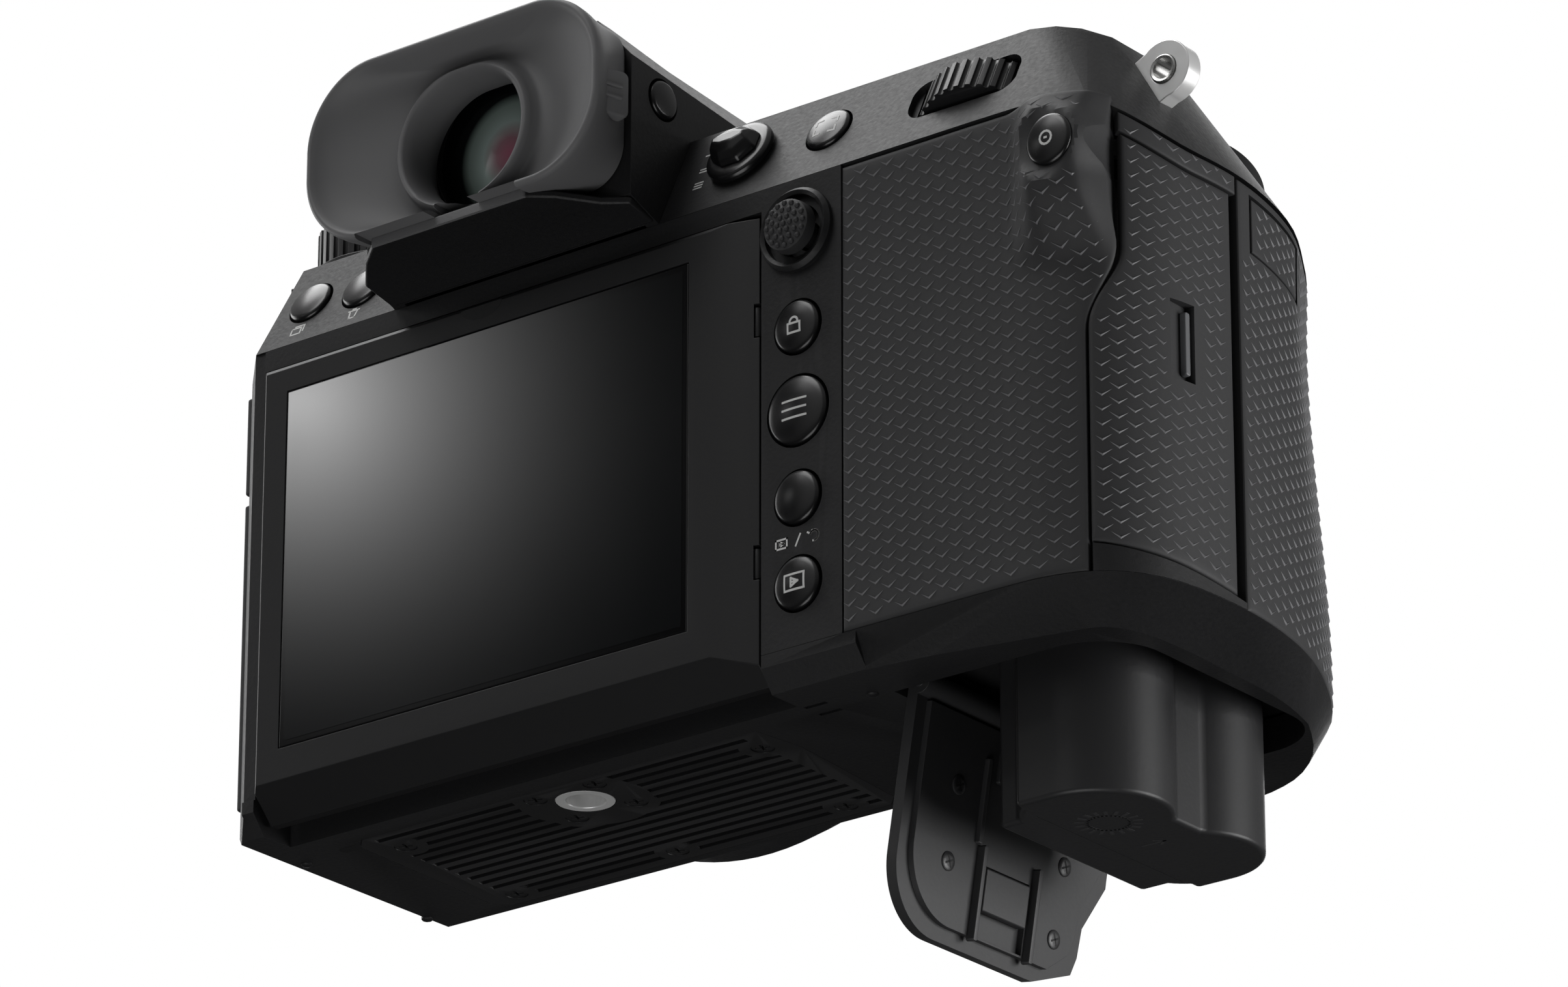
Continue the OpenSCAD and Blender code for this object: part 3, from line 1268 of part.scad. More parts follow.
front_cover();
rear_cover();
top_cover();
base_cover();
tripod_plate();
tripod_socket();
plate_screws();
finder_housing();
eyecup();
eyepiece_lens();
view_button();
diopter_dial();
hot_shoe();
mode_dial();
mode_dial_lock();
movie_lever();
drive_button();
delete_button();
shutter_button();
power_switch();
front_dial();
rear_dial();
sub_monitor();
light_button();
function_button();
focus_lever();
focus_button();
stick_gimbal();
focus_stick();
lock_button();
menu_button();
back_button();
play_button();
quick_button();
tilt_arm();
tilt_frame();
drop_frame();
monitor_housing();
monitor_glass();
rear_rubber();
front_rubber();
card_door();
card_latch();
card_slots();
remote_cover();
battery();
battery_door();
door_latch();
battery_chamber();
battery_ejector();
terminal_door_upper();
terminal_door_lower();
lens_mount();
mount_screws();
lens_release();
lens_lock_pin();
image_sensor();
shutter_unit();
main_board();
strap_lugs();
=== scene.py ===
"""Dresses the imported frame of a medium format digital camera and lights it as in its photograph.

Sizes are millimetres in the camera's own frame: X to the right seen from behind, Y towards the lens,
Z up, with the mouth of the tripod socket at the origin. Meshes are written in metres.
"""

from __future__ import annotations

import logging
import math
from dataclasses import dataclass, field
from enum import Enum
from typing import Callable, Iterable, Sequence

import bmesh
import bpy
from mathutils import Matrix, Vector


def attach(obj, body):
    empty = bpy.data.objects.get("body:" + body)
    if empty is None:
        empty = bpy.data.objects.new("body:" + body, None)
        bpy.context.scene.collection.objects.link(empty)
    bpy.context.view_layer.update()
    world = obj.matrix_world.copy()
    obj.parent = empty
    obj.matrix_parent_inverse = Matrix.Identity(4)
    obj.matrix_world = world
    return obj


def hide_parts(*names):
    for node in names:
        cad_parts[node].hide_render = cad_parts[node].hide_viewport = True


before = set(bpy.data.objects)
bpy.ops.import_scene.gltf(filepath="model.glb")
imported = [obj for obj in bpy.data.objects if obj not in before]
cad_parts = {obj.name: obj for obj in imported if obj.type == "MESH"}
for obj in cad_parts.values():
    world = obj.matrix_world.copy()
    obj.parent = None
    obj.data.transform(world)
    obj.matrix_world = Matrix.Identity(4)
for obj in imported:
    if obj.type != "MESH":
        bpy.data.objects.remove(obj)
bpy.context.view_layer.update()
MM = 0.001
log = logging.getLogger("camera")

# Places on the body in millimetres: the rear wall, the shoulder's lower edge, the deck and the lens axis.
REAR_Y = -17.5
CREASE_Z = 67.4
DECK_Z = 81.2
AXIS_X = 3.5
AXIS_Z = 42.0
# Middle of the column of buttons beside the monitor.
COLUMN_X = 48.2
# How far the rear shoulder runs forward up to the deck, and its lean.
SHOULDER_RUN = 6.5
LEAN = math.atan(SHOULDER_RUN / (DECK_Z - CREASE_Z))
# Axes of the camera's frame.
RIGHT, AHEAD, UP = Vector((1, 0, 0)), Vector((0, 1, 0)), Vector((0, 0, 1))
# Edges of the frame's nodes that turn less than this many degrees shade smooth, and those of the soft skins.
SMOOTH_BELOW = 32.0
SKIN_CRISP = 28.0
# The grip's outline runs from station 0, on the rear wall, to this one, and is measured in so many fine steps.
LAST_STATION = 15
FINE_STEPS = 600
# Scale at which the rings of a wave texture lie one millimetre apart.
WAVE_MM = 314.0


def linear(code: str) -> tuple[float, float, float, float]:
    """Turns an sRGB hex value into linear RGBA."""
    parts = [int(code[i:i + 2], 16) / 255 for i in (1, 3, 5)]
    red, green, blue = [c / 12.92 if c <= 0.04045 else ((c + 0.055) / 1.055) ** 2.4 for c in parts]
    return red, green, blue, 1.0


def add(tree: bpy.types.NodeTree, kind: str, inputs: dict | None = None, **settings) -> bpy.types.Node:
    """Adds one node with its settings and links.

    Args:
        tree: The tree that takes the node.
        kind: Blender's name of the node's type.
        inputs: Input names or numbers, each with a value or with the socket that feeds it.
        settings: Properties of the node itself.

    Returns:
        The new node.
    """
    node = tree.nodes.new(kind)
    for key, value in settings.items():
        setattr(node, key, value)
    for key, value in (inputs or {}).items():
        if isinstance(value, bpy.types.NodeSocket):
            tree.links.new(value, node.inputs[key])
        else:
            node.inputs[key].default_value = value
    return node


def empty(owner: bpy.types.Material | bpy.types.World) -> bpy.types.NodeTree:
    """Gives a new material or world an empty node tree."""
    owner.use_nodes = True
    owner.node_tree.nodes.clear()
    return owner.node_tree


def modify(made: bpy.types.Object, name: str, kind: str, **settings) -> None:
    """Adds one modifier with its settings."""
    modifier = made.modifiers.new(name, kind)
    for key, value in settings.items():
        setattr(modifier, key, value)


def stand(name: str, data: bpy.types.ID) -> bpy.types.Object:
    """Puts a new object with its data into the scene."""
    made = bpy.data.objects.new(name, data)
    bpy.context.scene.collection.objects.link(made)
    return made


class Relief(Enum):
    """How a surface's fine relief was made."""

    WRINKLED = "paint that wrinkled as it cured"
    MOULDED = "spark-eroded mould"
    TURNED = "turned on a lathe round the lens axis"
    GROUND = "ground and polished"


@dataclass(frozen=True)
class Finish:
    """One material: what it is, how its surface was made, and what that gives the eye.

    Attributes:
        name: The material's name.
        colour: Its colour as sRGB hex.
        mottle: The colour that it drifts to in patches.
        rough: Its roughness.
        spread: How far the roughness drifts up and down with the relief.
        relief: How the relief was made.
        grain: Width of one grain of the relief in millimetres.
        depth: Height of the relief in millimetres.
        patch: Width of the patches of colour in millimetres.
        metal: 1 for a bare metal.
        worn: Colour of worn edges, or nothing.
        ior: Its index of refraction, left alone for a metal.
    """

    name: str
    colour: str
    mottle: str
    rough: float
    spread: float = 0.06
    relief: Relief = Relief.MOULDED
    grain: float = 0.3
    depth: float = 0.01
    patch: float = 7.0
    metal: float = 0.0
    worn: str = ""
    ior: float = 1.5

    def material(self) -> bpy.types.Material:
        """Makes the material, or gives the one already made."""
        done = bpy.data.materials.get(self.name)
        if done:
            return done
        made = bpy.data.materials.new(self.name)
        tree = empty(made)
        place = add(tree, "ShaderNodeTexCoord").outputs["Object"]
        if self.relief is Relief.TURNED:
            centred = add(tree, "ShaderNodeMapping", {"Vector": place, "Location": (-AXIS_X * MM, 0, -AXIS_Z * MM)})
            relief = add(tree, "ShaderNodeTexWave", {"Vector": centred.outputs[0], "Scale": WAVE_MM / self.grain,
                         "Distortion": 0.1, "Detail": 1.0}, wave_type="RINGS", rings_direction="Y").outputs["Fac"]
        else:
            rise = {Relief.WRINKLED: 0.55, Relief.MOULDED: 0.5, Relief.GROUND: 0.4}[self.relief]
            relief = add(tree, "ShaderNodeTexNoise", {"Vector": place, "Scale": 1000 / (2 * self.grain),
                         "Detail": 2.0, "Roughness": rise}).outputs["Fac"]
        patches = add(tree, "ShaderNodeTexNoise", {"Vector": place, "Scale": 1000 / (2 * self.patch),
                      "Detail": 3.0}).outputs["Fac"]
        tone = add(tree, "ShaderNodeMix", {"Factor": patches, 6: linear(self.colour), 7: linear(self.mottle)},
                   data_type="RGBA").outputs[2]
        if self.worn:
            sharp = add(tree, "ShaderNodeNewGeometry").outputs["Pointiness"]
            edge = add(tree, "ShaderNodeMapRange", {"Value": sharp, "From Min": 0.53, "From Max": 0.6,
                       "To Max": 0.5}).outputs[0]
            tone = add(tree, "ShaderNodeMix", {"Factor": edge, 6: tone, 7: linear(self.worn)},
                       data_type="RGBA").outputs[2]
        gloss = add(tree, "ShaderNodeMapRange", {"Value": relief, "To Min": self.rough - self.spread,
                    "To Max": self.rough + self.spread}).outputs[0]
        bump = add(tree, "ShaderNodeBump", {"Height": relief, "Strength": 1.0, "Distance": self.depth * MM})
        shell = {"Base Color": tone, "Roughness": gloss, "Metallic": self.metal, "Normal": bump.outputs[0]}
        if not self.metal:
            shell["IOR"] = self.ior
        surface = add(tree, "ShaderNodeBsdfPrincipled", shell)
        add(tree, "ShaderNodeOutputMaterial", {"Surface": surface.outputs[0]})
        return made


# Magnesium covers under black wrinkle paint: fine leathery grain that breaks up the light, half matt.
# The grain is about 0.25 mm on such a body, drawn at 0.3 mm so that it shows.
PAINT = Finish("wrinkle_painted_magnesium", "#171718", "#131314", 0.5, 0.1, Relief.WRINKLED, 0.3, 0.03,
               worn="#212122", ior=1.34)
# Smoother moulded polycarbonate around the screen and the base, satin.
SATIN = Finish("moulded_polycarbonate", "#141415", "#111112", 0.45, 0.06, Relief.MOULDED, 0.2, 0.008, ior=1.36)
# Moulded elastomer of the grip: charcoal, quite matt, with a dusty bloom that evens the highlights.
RUBBER = Finish("moulded_grip_elastomer", "#2b2b2c", "#272728", 0.62, 0.06, Relief.MOULDED, 0.22, 0.008, ior=1.4)
# Tops of the grip's chevrons: the same elastomer, painted paler and a little glossier as a painted highlight, so each
# one draws a light line.
RIDGE_PAINTED_HIGHLIGHT = Finish("grip_elastomer_painted_highlight", "#646466", "#5a5a5c", 0.5, 0.06, Relief.MOULDED, 0.22, 0.004, ior=1.42)
# Silicone of the eyecup: smooth, soft highlights, its colour painted greyer than the grip as painted light, so the
# whole cup shows as bright as its lit dish.
SILICONE_PAINTED_LIGHT = Finish("moulded_silicone_painted_light", "#606061", "#5b5b5c", 0.55, 0.05, Relief.MOULDED, 0.15, 0.004, ior=1.41)
# Polished ABS of the buttons: deep black with one soft highlight.
BUTTON = Finish("polished_abs", "#0b0b0c", "#0d0d0e", 0.26, 0.03, Relief.MOULDED, 0.5, 0.002, ior=1.48)
# Textured ABS of the battery: satin black whose round cells catch a broad soft streak.
CELL = Finish("spark_textured_abs", "#212122", "#1d1d1e", 0.42, 0.07, Relief.MOULDED, 0.28, 0.012, ior=1.42)
# Glass-filled nylon of the battery door: dull, and painted a little greyer than the covers as painted light, since the
# door hangs in shade.
NYLON_PAINTED_LIGHT = Finish("glass_filled_nylon_painted_light", "#2a2a2b", "#252526", 0.5, 0.06, Relief.MOULDED, 0.25, 0.01, ior=1.45)
# Plain dark plastic inside the bay and the finder, which swallows light; also the painted shade of the drain hole, the
# monitor's finger notch and the door's screw slots.
INNER_AND_PAINTED_SHADE = Finish("matt_black_liner_and_painted_shade", "#0a0a0b", "#0d0d0e", 0.7, 0.08, Relief.MOULDED, 0.3, 0.01, ior=1.4)
# Black anodised aluminium of the dials and the base plate: a dull sheen and paler edges.
ANODISED = Finish("black_anodised_aluminium", "#161617", "#121213", 0.4, 0.06, Relief.GROUND, 0.12, 0.004,
                  worn="#2c2c2d", ior=1.42)
# Bright turned stainless steel of the mount ring and the strap bushes: fine lathe lines round the axis.
STEEL = Finish("turned_stainless_steel", "#b9b9b7", "#a9a9a8", 0.3, 0.03, Relief.TURNED, 0.4, 0.0012, metal=1.0)
# Pearl chrome plate of the strap lugs and the tripod bush: its fine blasted haze spreads the light, and half of it is
# near-white colour, a painted reflection of the white studio, so it shows almost white.
CHROME_PAINTED_REFLECTION = Finish("pearl_chrome_painted_reflection", "#dededd", "#d2d2d2", 0.32, 0.05, Relief.GROUND, 0.4, 0.002, metal=0.45)
# Pressed steel of the monitor's hinge plates, painted black and rubbed along its edges.
PRESSED = Finish("painted_pressed_steel", "#1b1b1c", "#161617", 0.38, 0.06, Relief.MOULDED, 0.3, 0.006, worn="#3c3c3d")
# Toughened cover glass of the screen: black mirror, only the faintest ripple.
GLASS = Finish("toughened_cover_glass", "#0a0a0b", "#09090a", 0.06, 0.01, Relief.GROUND, 6.0, 0.0003)
# Etched cover of the small display on the deck: dark, its highlight spread wide.
ETCHED = Finish("etched_display_cover", "#0c0d0e", "#0b0c0d", 0.42, 0.03, Relief.GROUND, 6.0, 0.0003, ior=1.4)
# Liquid crystal panel seen through the glass, a shade lighter than the border.
PANEL = Finish("unlit_panel", "#101112", "#0f1011", 0.06, 0.01, Relief.GROUND, 6.0, 0.0003)
# Pale ink of the printed symbols, thin and a little uneven.
INK = Finish("printed_ink", "#c4c4c3", "#b6b6b5", 0.55, 0.05, Relief.MOULDED, 0.2, 0.003)
# Dull grey ink, as on the battery, little brighter than what it is printed on.
GREY_INK = Finish("grey_printed_ink", "#2a2a2b", "#272728", 0.5, 0.05, Relief.MOULDED, 0.2, 0.003)
# Polycarbonate of the card door's latch, painted pale grey: a painted highlight where the glossy bar catches the
# light.
GREY_PAINTED_HIGHLIGHT = Finish("polycarbonate_painted_highlight", "#5e5f61", "#58595b", 0.4, 0.06, Relief.MOULDED, 0.2, 0.006)
# Solder mask over woven board: dull green with a weave-like mottle.
BOARD = Finish("solder_masked_board", "#1d3a2a", "#183224", 0.45, 0.06, Relief.MOULDED, 0.4, 0.01, patch=2.0)
# Filter glass over the sensor: dark blue-green with violet patches.
SENSOR = Finish("coated_filter_glass", "#1d2733", "#28203a", 0.06, 0.02, Relief.GROUND, 8.0, 0.0005, patch=25.0)

# Matt paper of the floor, almost even.
PAPER = Finish("matt_white_paper", "#e9e9e8", "#e4e4e3", 0.8, 0.05, Relief.MOULDED, 2.0, 0.02, patch=300.0)


@dataclass(frozen=True)
class Seat:
    """A place on the camera with its own axes.

    Attributes:
        origin: The place in millimetres.
        right: Direction of its first axis.
        up: Direction of its second axis.
    """

    origin: Vector
    right: Vector
    up: Vector

    def at(self, u: float, v: float, out: float = 0.0) -> Vector:
        """The point u along, v up and out from the place."""
        return self.origin + self.right * u + self.up * v + self.right.cross(self.up) * out


def on_rear(x: float, z: float, y: float = REAR_Y) -> Seat:
    """A place that faces the rear."""
    return Seat(Vector((x, y, z)), RIGHT, UP)


def on_shoulder(x: float, z: float) -> Seat:
    """A place on the sloping rear shoulder at the height z."""
    y = REAR_Y + SHOULDER_RUN * (z - CREASE_Z) / (DECK_Z - CREASE_Z)
    return Seat(Vector((x, y, z)), RIGHT, Vector((0, math.sin(LEAN), math.cos(LEAN))))


def on_base(x: float, y: float, z: float = 0.0) -> Seat:
    """A place that faces down."""
    return Seat(Vector((x, y, z)), RIGHT, -AHEAD)


def step(a: float, b: float, x: float) -> float:
    """Rises smoothly from 0 at a to 1 at b."""
    t = min(1.0, max(0.0, (x - a) / (b - a)))
    return t * t * (3 - 2 * t)


def spread(a: float, b: float, n: int) -> list[float]:
    """n + 1 even values from a to b."""
    return [a + (b - a) * i / n for i in range(n + 1)]


def arc(r: float, degrees: Iterable[float], x: float = 0.0, y: float = 0.0) -> list[tuple[float, float]]:
    """Points at the radius r round x and y, one for each angle."""
    return [(x + r * math.cos(math.radians(a)), y + r * math.sin(math.radians(a))) for a in degrees]


def circle(r: float, n: int) -> list[tuple[float, float]]:
    """n even points round a circle."""
    return arc(r, spread(0, 360, n)[:-1])


class Shape:
    """Points and faces of one piece, gathered in millimetres before they become a mesh."""

    def __init__(self) -> None:
        """Starts empty."""
        self.points: list[Vector] = []
        self.faces: list[tuple[int, ...]] = []

    def put(self, points: Iterable[Vector]) -> list[int]:
        """Adds points and gives their numbers."""
        start = len(self.points)
        self.points.extend(Vector(p) for p in points)
        return list(range(start, len(self.points)))

    def loft(self, rings: Sequence[Sequence[Vector]], first: bool = True, last: bool = True) -> None:
        """Joins closed rings of equal length, and closes the ends with flat faces.

        Args:
            rings: The rings in order.
            first: Whether the first ring is closed.
            last: Whether the last ring is closed.
        """
        ids = [self.put(ring) for ring in rings]
        n = len(ids[0])
        for a, b in zip(ids, ids[1:]):
            self.faces += [(a[i], a[(i + 1) % n], b[(i + 1) % n], b[i]) for i in range(n)]
        if first:
            self.faces.append(tuple(reversed(ids[0])))
        if last:
            self.faces.append(tuple(ids[-1]))

    def lathe(self, seat: Seat, profile: Sequence[tuple[float, float]], n: int, ends: bool = True) -> None:
        """Turns a profile of (radius, height) round a place in n steps, with or without end faces."""
        self.loft([[seat.at(u, v, h) for u, v in circle(r, n)] for r, h in profile], ends, ends)

    def block(self, seat: Seat, u: tuple[float, float], v: tuple[float, float], w: tuple[float, float],
              r: float = 0.3, cut: float = 0.15) -> None:
        """A block with rounded corners and a chamfered top.

        Args:
            seat: The place that it stands on.
            u: Its ends along the first axis.
            v: Its ends along the second axis.
            w: Its bottom and top.
            r: Radius of its corners.
            cut: Chamfer round its top.
        """
        def ring(inset: float, out: float) -> list[Vector]:
            """One outline of the block at the height out."""
            found = []
            rad = max(r - inset, 0.02)
            for cx, cy, turn in ((u[1], v[1], 0), (u[0], v[1], 90), (u[0], v[0], 180), (u[1], v[0], 270)):
                mx = cx - (inset + rad) * (1 if turn in (0, 270) else -1)
                my = cy - (inset + rad) * (1 if turn in (0, 90) else -1)
                found += [seat.at(x, y, out) for x, y in arc(rad, spread(turn, turn + 90, 4), mx, my)]
            return found
        self.loft([ring(0, w[0]), ring(0, w[1] - cut), ring(cut * 0.3, w[1] - cut * 0.3), ring(cut, w[1])])

    def line(self, seat: Seat, path: Sequence[tuple[float, float]], wide: float,
             rise: Callable[[float, float], float] = lambda u, v: 0.0, thick: float = 0.02) -> None:
        """A printed line of even width that follows the surface under it.

        Args:
            seat: The place that it is printed on.
            path: Its points in the place's axes.
            wide: Its width.
            rise: Height of the surface under it.
            thick: Thickness of the ink.
        """
        for (u0, v0), (u1, v1) in zip(path, path[1:]):
            long = math.hypot(u1 - u0, v1 - v0)
            du, dv = (u1 - u0) / long * wide / 2, (v1 - v0) / long * wide / 2
            n = max(1, round(long / 0.4))
            rings = []
            for k in range(n + 1):
                u, v = u0 - du + (u1 - u0 + 2 * du) * k / n, v0 - dv + (v1 - v0 + 2 * dv) * k / n
                edges = ((u + dv, v - du), (u - dv, v + du))
                rings.append([seat.at(a, b, rise(a, b) + thick) for a, b in edges]
                             + [seat.at(a, b, rise(a, b) - 0.1) for a, b in reversed(edges)])
            self.loft(rings)

    def piece(self, name: str, finish: Finish, body: str, hides: Sequence[str] = (), slot: str = "",
              crisp: float = 40.0) -> bpy.types.Object:
        """Makes the mesh, gives it its finish and lets it ride on its body.

        Args:
            name: The piece's name.
            finish: Its material.
            body: The body that carries it.
            hides: The nodes of the frame that it stands for.
            slot: Not used.
            crisp: Edges that turn more than this many degrees stay sharp.

        Returns:
            The new object.
        """
        mesh = bpy.data.meshes.new(name)
        mesh.from_pydata([tuple(p * MM) for p in self.points], [], self.faces)
        work = bmesh.new()
        work.from_mesh(mesh)
        bmesh.ops.remove_doubles(work, verts=work.verts, dist=1e-7)
        bmesh.ops.recalc_face_normals(work, faces=work.faces)
        for face in work.faces:
            face.smooth = True
        for edge in work.edges:
            edge.smooth = edge.calc_face_angle(0.0) < math.radians(crisp)
        work.to_mesh(mesh)
        work.free()
        mesh.materials.append(finish.material())
        made = stand(name, mesh)
        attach(made, body)
        if hides:
            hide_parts(*hides)
        if crisp > SKIN_CRISP:
            modify(made, "even", "WEIGHTED_NORMAL", keep_sharp=True)
        log.info("%s on %s", name, body)
        return made


def smoothing() -> bpy.types.NodeTree:
    """A node group that shades a mesh smooth across its blunt edges."""
    name = f"smooth_below_{SMOOTH_BELOW:.0f}"
    done = bpy.data.node_groups.get(name)
    if done:
        return done
    tree = bpy.data.node_groups.new(name, "GeometryNodeTree")
    tree.interface.new_socket("Geometry", in_out="INPUT", socket_type="NodeSocketGeometry")
    tree.interface.new_socket("Geometry", in_out="OUTPUT", socket_type="NodeSocketGeometry")
    start = add(tree, "NodeGroupInput")
    turn = add(tree, "GeometryNodeInputMeshEdgeAngle").outputs["Unsigned Angle"]
    soft = add(tree, "FunctionNodeCompare", {0: turn, 1: math.radians(SMOOTH_BELOW)}, data_type="FLOAT",
               operation="LESS_THAN")
    edges = add(tree, "GeometryNodeSetShadeSmooth", {"Geometry": start.outputs[0], "Shade Smooth": soft.outputs[0]},
                domain="EDGE")
    faces = add(tree, "GeometryNodeSetShadeSmooth", {"Geometry": edges.outputs[0], "Shade Smooth": True},
                domain="FACE")
    add(tree, "NodeGroupOutput", {0: faces.outputs[0]})
    return tree


def dress(finish: Finish, edge: float, *names: str) -> None:
    """Gives nodes of the frame a finish and rounds their edges.

    Args:
        finish: Their material.
        edge: Radius of their edges.
        names: The nodes.
    """
    for name in names:
        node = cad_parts[name]
        if not node.material_slots:
            node.data.materials.append(finish.material())
        for place in node.material_slots:
            place.material = finish.material()
        modify(node, "weld", "WELD", merge_threshold=2e-6)
        modify(node, "flat", "DECIMATE", decimate_type="DISSOLVE", angle_limit=math.radians(0.6))
        modify(node, "edge", "BEVEL", width=edge * MM, segments=3, limit_method="ANGLE", angle_limit=math.radians(35),
               use_clamp_overlap=True, harden_normals=False)
        modify(node, "shade", "NODES", node_group=smoothing())
        modify(node, "even", "WEIGHTED_NORMAL", keep_sharp=True)
        log.info("%s in %s", name, finish.name)


def carve(skin: bpy.types.Object, low: Vector, high: Vector) -> None:
    """Cuts a box out of a closed mesh for what sits in it.

    Args:
        skin: The object that is cut.
        low: Lowest corner of the box.
        high: Highest corner of the box.
    """
    mesh = bpy.data.meshes.new("carve")
    corners = [(x, y, z) for x in (low.x, high.x) for y in (low.y, high.y) for z in (low.z, high.z)]
    mesh.from_pydata([tuple(Vector(c) * MM) for c in corners], [],
                     [(0, 1, 3, 2), (4, 6, 7, 5), (0, 4, 5, 1), (2, 3, 7, 6), (0, 2, 6, 4), (1, 5, 7, 3)])
    tool = stand("carve", mesh)
    modify(skin, "cut", "BOOLEAN", operation="DIFFERENCE", solver="EXACT", object=tool)
    bpy.context.view_layer.update()
    ready = bpy.data.meshes.new_from_object(skin.evaluated_get(bpy.context.evaluated_depsgraph_get()))
    skin.modifiers.clear()
    skin.data = ready
    bpy.data.objects.remove(tool)


@dataclass
class Casing:
    """The painted covers, the finned base plate, the finder's housing and what lies inside them.

    Attributes:
        pip: Radius of the pips on the base.
    """

    pip: float = 0.8

    def build(self) -> None:
        """Dresses the covers and what is fixed to them or lies inside, and adds the small marks of the base."""
        dress(PAINT, 0.6, "front_cover", "rear_cover", "top_cover", "base_cover", "finder_housing")
        dress(RUBBER, 0.4, "terminal_door_upper", "terminal_door_lower")
        dress(ANODISED, 0.12, "tripod_plate")
        dress(ANODISED, 0.1, "plate_screws")
        # The tripod bush and the strap lugs show almost white through a painted reflection.
        dress(CHROME_PAINTED_REFLECTION, 0.2, "tripod_socket")
        dress(PRESSED, 0.1, "hot_shoe")
        dress(ETCHED, 0.15, "sub_monitor")
        dress(CHROME_PAINTED_REFLECTION, 0.4, "strap_lugs")
        dress(BOARD, 0.1, "main_board")
        dress(SATIN, 0.2, "card_slots", "battery_ejector")
        dress(INNER_AND_PAINTED_SHADE, 0.15, "battery_chamber")
        dress(INNER_AND_PAINTED_SHADE, 0.2, "shutter_unit")
        dress(SENSOR, 0.2, "image_sensor")
        dress(STEEL, 0.15, "lens_mount", "lens_lock_pin", "mount_screws")
        dress(BUTTON, 0.3, "lens_release")
        self.base_marks()
        self.bushes()

    def bushes(self) -> None:
        """Turned bushes in the eyes of the strap lugs."""
        made = Shape()
        section = ((1.4, -1.5), (1.72, -1.6), (1.88, -1.5), (1.88, 1.5), (1.72, 1.6), (1.4, 1.5), (1.4, -1.5))
        for eye in ((94.3, -1.5, 74.6), (-49.4, 3.0, 75.6)):
            made.lathe(Seat(Vector(eye), RIGHT, UP), section, 40, False)
        made.piece("strap_bushes", STEEL, "camera_body", slot="bright")

    def base_marks(self) -> None:
        """Three pips that the camera stands on, and a flat dark oval of painted shade where the drain hole is."""
        marks = Shape()
        for x, y in ((52.4, -8.0), (-43.8, -4.0), (-45.6, 22.2)):
            marks.lathe(on_base(x, y), [(self.pip, -0.3), (self.pip, 0.1), (self.pip * 0.8, 0.28),
                                        (self.pip * 0.4, 0.36), (0.01, 0.38)], 24)
        marks.piece("base_pips", PAINT, "camera_body", slot="shell")
        # Flat dark oval: painted shade in place of the hole's hollow.
        hole = Shape()
        hole.block(on_base(-35.4, -4.9), (-1.7, 1.7), (-0.8, 0.8), (-0.4, 0.03), 0.78, 0.02)
        hole.piece("base_oval_painted_shade", INNER_AND_PAINTED_SHADE, "camera_body", slot="matte")


